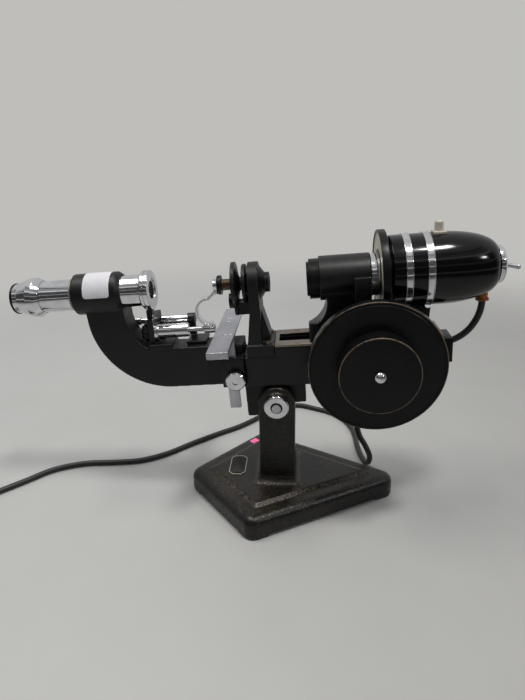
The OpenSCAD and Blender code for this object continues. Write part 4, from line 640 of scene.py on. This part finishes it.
# Focusing sleeve: a fluted cone behind a plain bead
lathe("focusSleeve", dict(segments=144, profile=[
    (-244.5, 14.65), (-244.5, 15.4, 0.5), (-242.8, 16.1, 0.5), (-234.4, 19.1, 0.9), (-233.5, 19.4, 0.5),
    (-227.5, 19.4, 1.2), (-226.4, 18.6, 0.4), (-222, 16.3, 0.7), (-222, 15.45), (-236.8, 15.45),
    (-236.8, 14.65)],
    ribs=[dict(start=-241.5, end=-235.2, count=48, depth=0.35, above=15.8, power=0.7)]),
    "focus", material["chrome"], ["focus_ring"])
# Eyepiece shell and its black guard
lathe("eyepieceShell", dict(segments=128, profile=[
    (-249.48, 12.4), (-249.48, 14.6, 0.3), (-240.1, 14.6, 0.4), (-240.1, 13.75), (-218.5, 13.75),
    (-218.5, 12.4)]),
    "eyepiece", material["chrome"], ["eyepiece_tube"])
lathe("eyeGuard", dict(segments=128, profile=[
    (-249.0, 8.4, 0.3), (-251.5, 13.2, 0.4), (-251.5, 15.2, 0.8), (-249.5, 15.2, 0.5), (-249.5, 12.35),
    (-245.5, 12.35), (-245.5, 8.4)]), "eyepiece", material["bakelite"], ["eye_guard"])
print("telescope made")

# Lamp house: a straight barrel, then a nose whose radius is its end's, plus the rise times the root of
# one less the square of the way along
lampAxis = (0, 0, axisZ + 2)


def noseCurve(start, length, end, rise):
    return [(start + length * k, end + rise * math.sqrt(max(0, 1 - k * k))) for k in np.linspace(0, 1, 25)[1:]]


nose = noseCurve(158, 49.5, 15.9, 17.1)
inner = noseCurve(158, 47.1, 13.5, 17.1)[::-1]
lathe("lampShell", dict(segments=160, centre=lampAxis, profile=[
    (112, 10, 0.5), (112, 33, 1.6), (158, 33)] + nose + [(207.5, 7.05), (205.1, 7.05)] + inner +
    [(158, 30.6), (115, 30.6), (115, 10)]), "carriage", material["bakelite"], ["lamp_house"])
# Bright ring at the end of the house
lathe("lampCap", dict(segments=128, centre=lampAxis, profile=[
    (203.1, 3), (203.1, 7), (207.52, 7), (207.52, 17.5, 0.8), (210.7, 17.5, 1.2), (212.3, 16.6, 0.9),
    (213.5, 15, 0.8), (213.5, 6.4, 0.4), (212.9, 5.6, 0.3), (212.9, 3)]),
    "carriage", material["chrome"], ["lamp_end_ring"])
# Rolled edges of the two straps: small rings round the house
strapSpec = dict(stations=(123.45, 128.75, 141.95, 147.25), radius=33.8, thick=0.42)
for k, station in enumerate(strapSpec["stations"]):
    ring = [(station + strapSpec["thick"] * math.cos(a), strapSpec["radius"] + strapSpec["thick"] * math.sin(a))
            for a in np.linspace(0, 2 * math.pi, 11)[:-1]]
    lathe("strapEdge%d" % (k + 1), dict(segments=128, centre=lampAxis, profile=ring, sharp=80),
          "carriage", material["chrome"])
print("lamp house made")

# Axis wheel: painted rim, a pale dial let into its left face
lathe("axisDial", dict(segments=144, profile=[
    (102.1, 16.05), (102.1, 22.5, 0.3), (103.1, 24, 0.3), (103.1, 37.6, 0.3), (102.1, 38.8, 0.4),
    (102.1, 40.8, 0.9), (108.9, 40.8, 0.9), (108.9, 35.8, 0.4), (105.1, 35.8, 0.4), (105.1, 21, 0.3),
    (108.9, 20.4), (109.9, 20, 0.3), (109.9, 16.05)],
    paint=[(102.9, 103.3, 23.6, 38.2, "dialFace")]), "axis", material["satinBlack"], ["axis_wheel"])
# Power drum: disc, raised hub and domed nut
drumAxis = (95, 0, 44.8)
lathe("drumPlate", dict(axis="y", segments=192, centre=drumAxis, profile=[
    (-52, 4.05), (-52, 58.4), (-51.6, 58.9), (-51.6, 59.7), (-52, 60.2, 0.2), (-52, 62, 0.9), (-42, 62, 0.9),
    (-42, 57, 0.4), (-48, 57), (-48, 18), (-42, 18, 0.3), (-42, 12), (-25.3, 12, 0.4), (-25.3, 4.05)],
    paint=[(-52.1, -51.2, 61.2, 62.2, "wornEdge")]), "drum", material["satinBlack"], ["drum_disc"])
lathe("drumBoss", dict(axis="y", segments=160, centre=drumAxis, profile=[
    (-70, 4.05), (-70, 36, 1.1), (-52.02, 36), (-52.02, 4.05)],
    paint=[(-70.1, -69.2, 35.0, 36.2, "wornEdge")]), "drum", material["satinBlack"], ["drum_hub"])
dome = [(-69.4 - 6 * math.cos(a), max(0.02, 6 * math.sin(a))) for a in np.linspace(1.119, 0, 9)]
lathe("drumCap", dict(closed=False, axis="y", segments=64, centre=drumAxis,
                      profile=[(-70.02, 4.05), (-70.02, 5.4)] + dome),
      "drum", material["chrome"], ["drum_nut"])
# Clamping knob at the pivot: a polished face with a sunk ring round the bolt
lathe("tiltKnob", dict(axis="y", segments=96, centre=(0, 0, pivotHeight), stand=True, profile=[
    (-28.52, 4.45), (-28.52, 12.2, 0.4), (-32.5, 12.2, 0.4), (-33.5, 11.2, 0.5), (-33.5, 5.9, 0.25),
    (-32.8, 5.5, 0.2), (-32.8, 4.45)],
    paint=[(-33.3, -32.7, 4, 6, "satinBlack")]), "tilt_knob", material["chrome"], ["pivot_knob"])
# Knurled head of the spring adjuster
lathe("adjusterHead", dict(segments=96, centre=(0, 0, 75), profile=[
    (-123, 3.4), (-129.52, 3.4, 0.2), (-129.52, 7, 0.6), (-126.5, 7), (-126.5, 9.9, 0.5), (-122.02, 9.9, 0.5),
    (-122.02, 5.3), (-114.6, 5.3), (-114.6, 3.4)],
    ribs=[dict(start=-126, end=-122.5, count=40, depth=0.3, above=9, power=0.8)]),
    "spring_adjuster", material["satinBlack"], ["clamp_adjuster"])
print("wheels made")


def patchOn(name, spec, body, mat):
    # A rounded rectangle as rings that shrink to its middle, laid on a cylinder along x or on a level plane
    w, h, corner = spec["width"] / 2, spec["height"] / 2, spec["corner"]
    angle = np.linspace(0, 2 * math.pi, 48, endpoint=False)
    u = np.sign(np.cos(angle + 1e-9)) * (w - corner) + corner * np.cos(angle)
    v = np.sign(np.sin(angle + 1e-9)) * (h - corner) + corner * np.sin(angle)
    outline = np.stack([np.append(u, u[0]), np.append(v, v[0]), np.zeros(len(u) + 1)], -1)
    outline = evenly(outline, spec["height"] / 40)[0][:-1]
    shrink = np.linspace(1, 0.002, 14)[:, None]
    u, v = (shrink * outline[:, 0]).ravel(), (shrink * outline[:, 1]).ravel()
    turn = math.radians(spec["turn"])
    if "radius" in spec:
        around = turn + v / spec["radius"]
        pts = toFrame(np.stack([spec["x"] + u, -spec["radius"] * np.cos(around),
                                axisZ + spec["radius"] * np.sin(around)], -1))
    else:
        pts = toStand(np.stack([spec["x"] + u * math.cos(turn) - v * math.sin(turn),
                                spec["y"] + u * math.sin(turn) + v * math.cos(turn),
                                np.full(u.shape, spec["z"])], -1))
    finishPiece(meshFrom(name, pts, gridFaces(len(shrink), len(outline), False, True), 60), body, mat)


# Blank paper label on the telescope socket, and a blank sticker on the base
patchOn("socketLabel", dict(x=-162.5, width=26, height=35, corner=3, radius=20.12, turn=50), "bench",
        material["paper"])
patchOn("stickerDot", dict(x=-31.5, y=60, z=24.2, width=10, height=7.5, corner=0.8, turn=50), "stand",
        material["pinkPaper"])
print("labels made")


def makeFloor(spec):
    # Painted shade: the tone darkens towards the right, with a faint mottle; the sheet turns clear between two
    # distances.
    e = spec["reach"]
    corners = np.array([[-e, -e, 0], [e, -e, 0], [e, e, 0], [-e, e, 0]])
    sheet = meshFrom("floor", corners, np.array([[0, 1, 2, 3]]))
    mat = bpy.data.materials.new("paleVinyl")
    mat.use_nodes = True
    tree = mat.node_tree
    tree.nodes.clear()
    co = objectCoords(tree)
    mottle = noiseOf(tree, co, spec["mottle"], 6.0, 0.6)
    # Painted shade: each pair goes from its left tone to its darker right tone across the shade span
    side = rangeOf(tree, splitVector(tree, co)["X"], *spec["shade"])
    tone = mixTone(tree, mottle, mixTone(tree, side, *spec["pale"]), mixTone(tree, side, *spec["dull"]))
    shader = addNode(tree, "ShaderNodeBsdfPrincipled", {"Base Color": tone, "Roughness": 0.38,
                                                        "Specular IOR Level": 0.3})
    far = vectorCalc(tree, "LENGTH", co).outputs["Value"]
    fade = rangeOf(tree, far, spec["solid"], spec["gone"], interpolation_type="SMOOTHSTEP")
    clear = addNode(tree, "ShaderNodeBsdfTransparent")
    mix = addNode(tree, "ShaderNodeMixShader", {0: fade, 1: shader.outputs[0], 2: clear.outputs[0]})
    addNode(tree, "ShaderNodeOutputMaterial", {0: mix.outputs[0]})
    sheet.data.materials.append(mat)


# Floor: a pale table top that fades into the room, with painted shade that darkens it towards the right.
# Distances are in metres, the mottle in millimetres.
makeFloor(dict(reach=2.4, solid=0.62, gone=1.25, mottle=1000 / 11, shade=(-0.1, 0.5), pale=("b2b3b3", "999998"),
               dull=("aaabab", "90908f")))


def makeWorld(spec):
    # In front the room is dark round eye level, with thin bright strips; behind there is a pale wall.
    # The height of a ray, from minus one to one, is read as zero to one.
    world = bpy.data.worlds.new("room")
    scene.world = world
    world.use_nodes = True
    tree = world.node_tree
    tree.nodes.clear()
    ray = splitVector(tree, addNode(tree, "ShaderNodeTexCoord").outputs["Generated"])
    height = calc(tree, "MULTIPLY_ADD", ray["Z"], 0.5, 0.5)
    ahead, behind = rampOf(tree, height, spec["ahead"]), rampOf(tree, height, spec["behind"])
    turn = rangeOf(tree, ray["Y"], *spec["turn"], interpolation_type="SMOOTHSTEP")
    lit = addNode(tree, "ShaderNodeBackground", {"Color": mixTone(tree, turn, ahead, behind), "Strength": 1.0})
    seen = addNode(tree, "ShaderNodeBackground", {"Color": linear(spec["seen"]), "Strength": 1.0})
    camera = addNode(tree, "ShaderNodeLightPath").outputs["Is Camera Ray"]
    mix = addNode(tree, "ShaderNodeMixShader", {0: camera, 1: lit.outputs[0], 2: seen.outputs[0]})
    addNode(tree, "ShaderNodeOutputWorld", {0: mix.outputs[0]})


makeWorld(dict(
    ahead=[(0.0, 0.58), (0.30, 0.48), (0.345, 0.05), (0.46, 0.05), (0.468, 0.6), (0.484, 0.6), (0.492, 0.05),
           (0.62, 0.05), (0.655, 0.05), (0.664, 0.55), (0.672, 0.55), (0.680, 0.06), (0.78, 0.09),
           (0.805, 0.12), (0.815, 1.0), (0.835, 1.0), (0.845, 0.25), (0.893, 0.42), (0.898, 0.1),
           (0.91, 0.1), (0.915, 0.48), (1.0, 0.7)],
    behind=[(0.0, 0.45), (0.5, 0.50), (0.8, 0.60), (1.0, 0.60)], turn=(-0.2, 0.15), seen="bfbebb"))


def areaLight(name, spec):
    # A rectangle that shines at a point, unseen by the camera
    data = bpy.data.lights.new(name, "AREA")
    data.shape = "RECTANGLE"
    data.size, data.size_y = spec["size"]
    data.energy = spec["power"]
    data.color = linear(spec["tint"])[:3]
    lamp = bpy.data.objects.new(name, data)
    scene.collection.objects.link(lamp)
    lamp.location = spec["place"]
    lamp.rotation_euler = (Vector(spec["aim"]) - Vector(spec["place"])).to_track_quat("-Z", "Y").to_euler()
    lamp.visible_camera = False


# Two ceiling lamps and a small bright window
areaLight("ceilingMain", dict(size=(0.34, 0.2), power=17, tint="fffdf8", place=(0.45, -0.35, 2.0),
                              aim=(0.1, 0, 0.1)))
areaLight("ceilingLeft", dict(size=(0.9, 0.3), power=14, tint="fffaf2", place=(-0.7, -0.1, 1.9),
                              aim=(-0.1, 0, 0.1)))
areaLight("windowRight", dict(size=(0.18, 0.12), power=3, tint="ffffff", place=(1.3, -0.75, 1.1),
                              aim=(0.15, 0, 0.2)))
print("room made")
